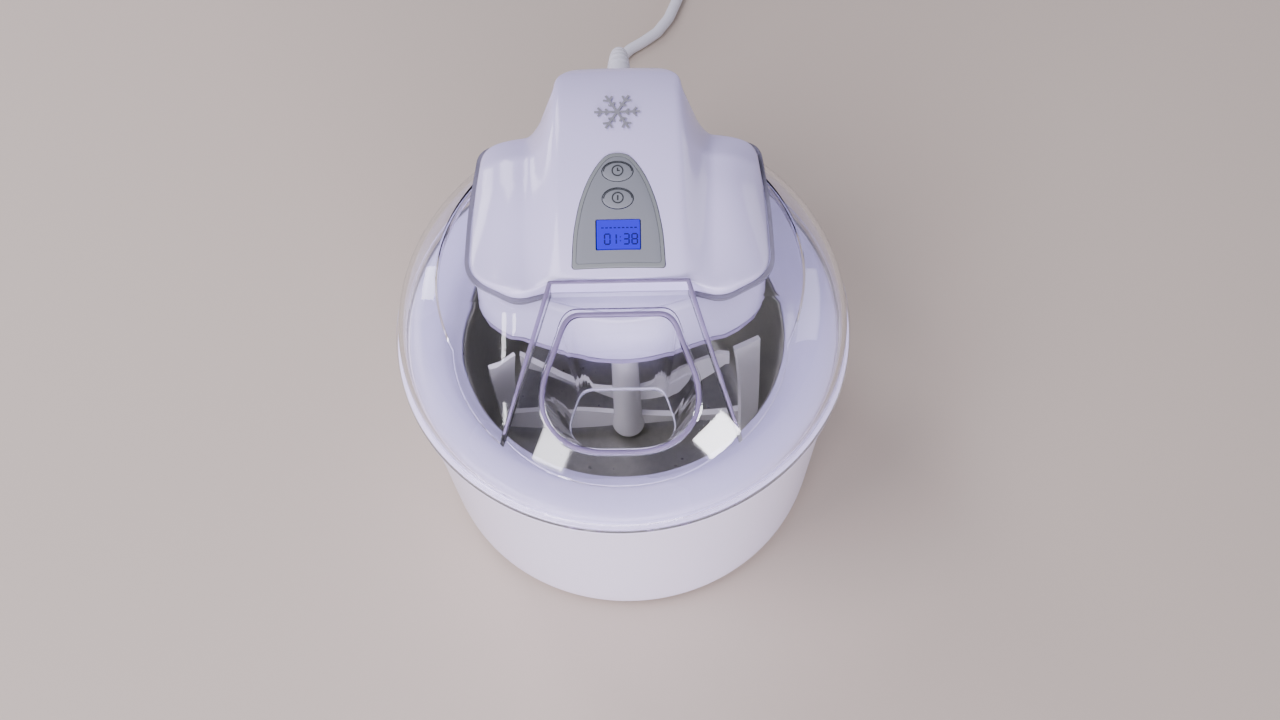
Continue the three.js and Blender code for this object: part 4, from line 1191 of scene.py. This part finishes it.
def digit(value, x, y, width, height, stroke, bottom, top):
    """Seven-segment bars of one digit, with its lower left corner at x and y."""
    mid = y + height / 2
    gap = stroke * 0.35
    lines = {
        "a": (x + gap, y + height, x + width - gap, y + height), "g": (x + gap, mid, x + width - gap, mid),
        "d": (x + gap, y, x + width - gap, y), "b": (x + width, mid + gap, x + width, y + height - gap),
        "c": (x + width, y + gap, x + width, mid - gap), "f": (x, mid + gap, x, y + height - gap),
        "e": (x, y + gap, x, mid - gap),
    }
    return [bar(*lines[key], stroke, bottom, top) for key in SEGMENTS[value]]


def add_display():
    """The lit display with its dark segments. Its face stands for the window's face too."""
    y = LCD["y"]
    slant = 1 / math.cos(crown_angle(y))
    half_x, half_y = LCD["width"] / 2 - 0.25, LCD["depth"] / 2 * slant - 0.35
    top = -0.25
    verts, faces = prism_mesh(box_path(0, half_x, half_y, 0.5), -8, top)
    new_object("lcd_lit_module", tilted(verts, y), faces, "display", "lid_unit",
               ("lcd_module", "lcd_window"), 30)
    low, high = top + 0.02, top + 0.10
    marks = []
    for value, x in (("0", -6.6), ("1", -3.6), ("3", 2.6), ("8", 6.6)):
        marks += digit(value, x, -4.8, 2.6, 5.0, 0.62, low, high)
    marks += [bar(1.0, -3.4, 1.0, -2.9, 0.5, low, high), bar(1.0, -1.5, 1.0, -1.0, 0.5, low, high)]
    for i in range(9):
        x = -8.2 + i * 2.0
        marks.append(bar(x, 3.3, x + 1.2, 3.3, 0.5, low, high))
    verts, faces = join_parts(marks)
    new_object("lcd_segments", tilted(verts, y), faces, "segment", "lid_unit", sharp=30)


def add_emblem():
    """A plain six-armed snowflake with small side barbs."""
    low, high, reach_all = 0.3, 0.75, 11.3
    flake = tool(*bar(-reach_all, 0, reach_all, 0, 1.1, low, high))
    for i in range(6):
        angle = i * math.pi / 3
        c, s = math.cos(angle), math.sin(angle)
        if i in (1, 2):
            ends = (-reach_all * c, -reach_all * s, reach_all * c, reach_all * s)
            combine(flake, "UNION", tool(*bar(*ends, 1.1, low, high)))
        for reach, length in ((7.6, 3.2), (4.4, 2.2)):
            for turn in (angle + math.pi / 3.4, angle - math.pi / 3.4):
                end = (reach * c + length * math.cos(turn), reach * s + length * math.sin(turn))
                combine(flake, "UNION", tool(*bar(reach * c, reach * s, *end, 0.95, low, high)))
    verts = np.array([tuple(v.co) for v in flake.data.vertices]) / MM
    faces = [tuple(f.vertices) for f in flake.data.polygons]
    bpy.data.objects.remove(flake)
    verts[:, 1] += EMBLEM_Y
    verts[:, 2] += CROWN["peak_z"]
    new_object("snowflake_badge", verts, faces, "emblem_grey", "lid_unit", ("snowflake_emblem",), 30)


def add_motor_tub():
    """The white tub under the clear deck, and the plate that closes it below the deck and the ramp."""
    corners = [(0, TUB["front_y"], 12)] + TUB_CORNERS + mirrored(TUB_CORNERS)[len(TUB_CORNERS):]

    def lean(path, z):
        y = path[:, 1]
        shift = np.where(y < 0, TUB["lean"] * (z - TUB["bottom"]) * np.minimum(1, -y / 12), 0)
        return np.column_stack([path[:, 0], y + shift])

    gap = 0.3
    rows = [(1.6, 0), (0.5, 0.45), (0, 1.6), (0, 12), (0, 24), (0, 29.2)]
    loops = []
    for inset, rise in rows:
        path = resampled(rounded_path(offset(corners, -inset), pieces=8), 4)
        loops.append((path, TUB["bottom"] + rise))
    count = min(len(path) for path, _ in loops)
    verts = []
    for path, z in loops:
        leaning = lean(evenly(path, count), z)
        under = np.where(leaning[:, 1] < DECK["rear_y"], deck_z(leaning[:, 1]) - COLLAR["wall"] - gap, z)
        verts.extend(np.column_stack([leaning, np.minimum(z, under)]))
    faces = quads(len(rows), count) + end_caps(len(rows), count)[:1]
    tub = new_object("motor_tub", verts, faces, "tub_white_painted_shade", "lid_unit", ("motor_lower_housing",), 45)
    solid = tub.modifiers.new("wall", "SOLIDIFY")
    solid.thickness = TUB["wall"] * MM
    solid.offset = -1
    plan = lean(resampled(rounded_path(offset(corners, -1.2), pieces=8), 4), TUB["top"])
    deck = prism(plan, 150, 190)
    front, rear, thickness = -60, 10, 1.6
    high, low = TOP_Z - COLLAR["wall"] - gap, deck_z(front) - COLLAR["wall"] - gap
    profile = [(front, low - thickness), (DECK["rear_y"], high - thickness), (rear, high - thickness),
               (rear, high), (DECK["rear_y"], high), (front, low)]
    combine(deck, "INTERSECT", side_prism(profile, 60))
    lip = np.array([(-33.2, -12.8), (33.2, -12.8), (33.2, -11.8), (-33.2, -11.8)])
    combine(deck, "UNION", prism(lip, 174.5, 178.2))
    finish_edges(deck, 0.4, 30, 2)
    dress(deck, "motor_tub_deck", "tub_white_painted_shade", "lid_unit")


def dress_cad_nodes():
    """The CAD pieces that stay: each takes a node material."""
    chosen = {
        "coolant_gel": "gel", "housing_seal": "seal_grey",
        "control_board": "board", "timer_switch": "black", "power_switch": "black", "buzzer": "black",
        "stepped_gear_axle": "steel", "output_bush": "brass", "gearbox_plate": "steel", "motor_can": "steel",
        "output_gear": "acetal", "stepped_gear": "acetal", "motor_pinion": "steel",
    }
    for i in range(1, 5):
        chosen[f"housing_screw_{i}"] = "steel"
        chosen[f"plate_screw_{i}"] = "steel"
    for node, name in chosen.items():
        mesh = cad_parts[node].data
        mesh.materials.clear()
        mesh.materials.append(MATERIALS[name])


# ---------------------------------------------------------------- build

add_camera()
cord = add_cord()
relief = add_strain_relief()
plug_pieces = add_plug()
tie = add_coil_tie()
add_lights()
add_world()
add_floor()
add_bucket()
add_bowl()
add_paddle()
add_lid()
add_lid_edges()
add_head_cover()
add_control_panel()
add_buttons()
add_display()
add_emblem()
add_motor_tub()
dress_cad_nodes()
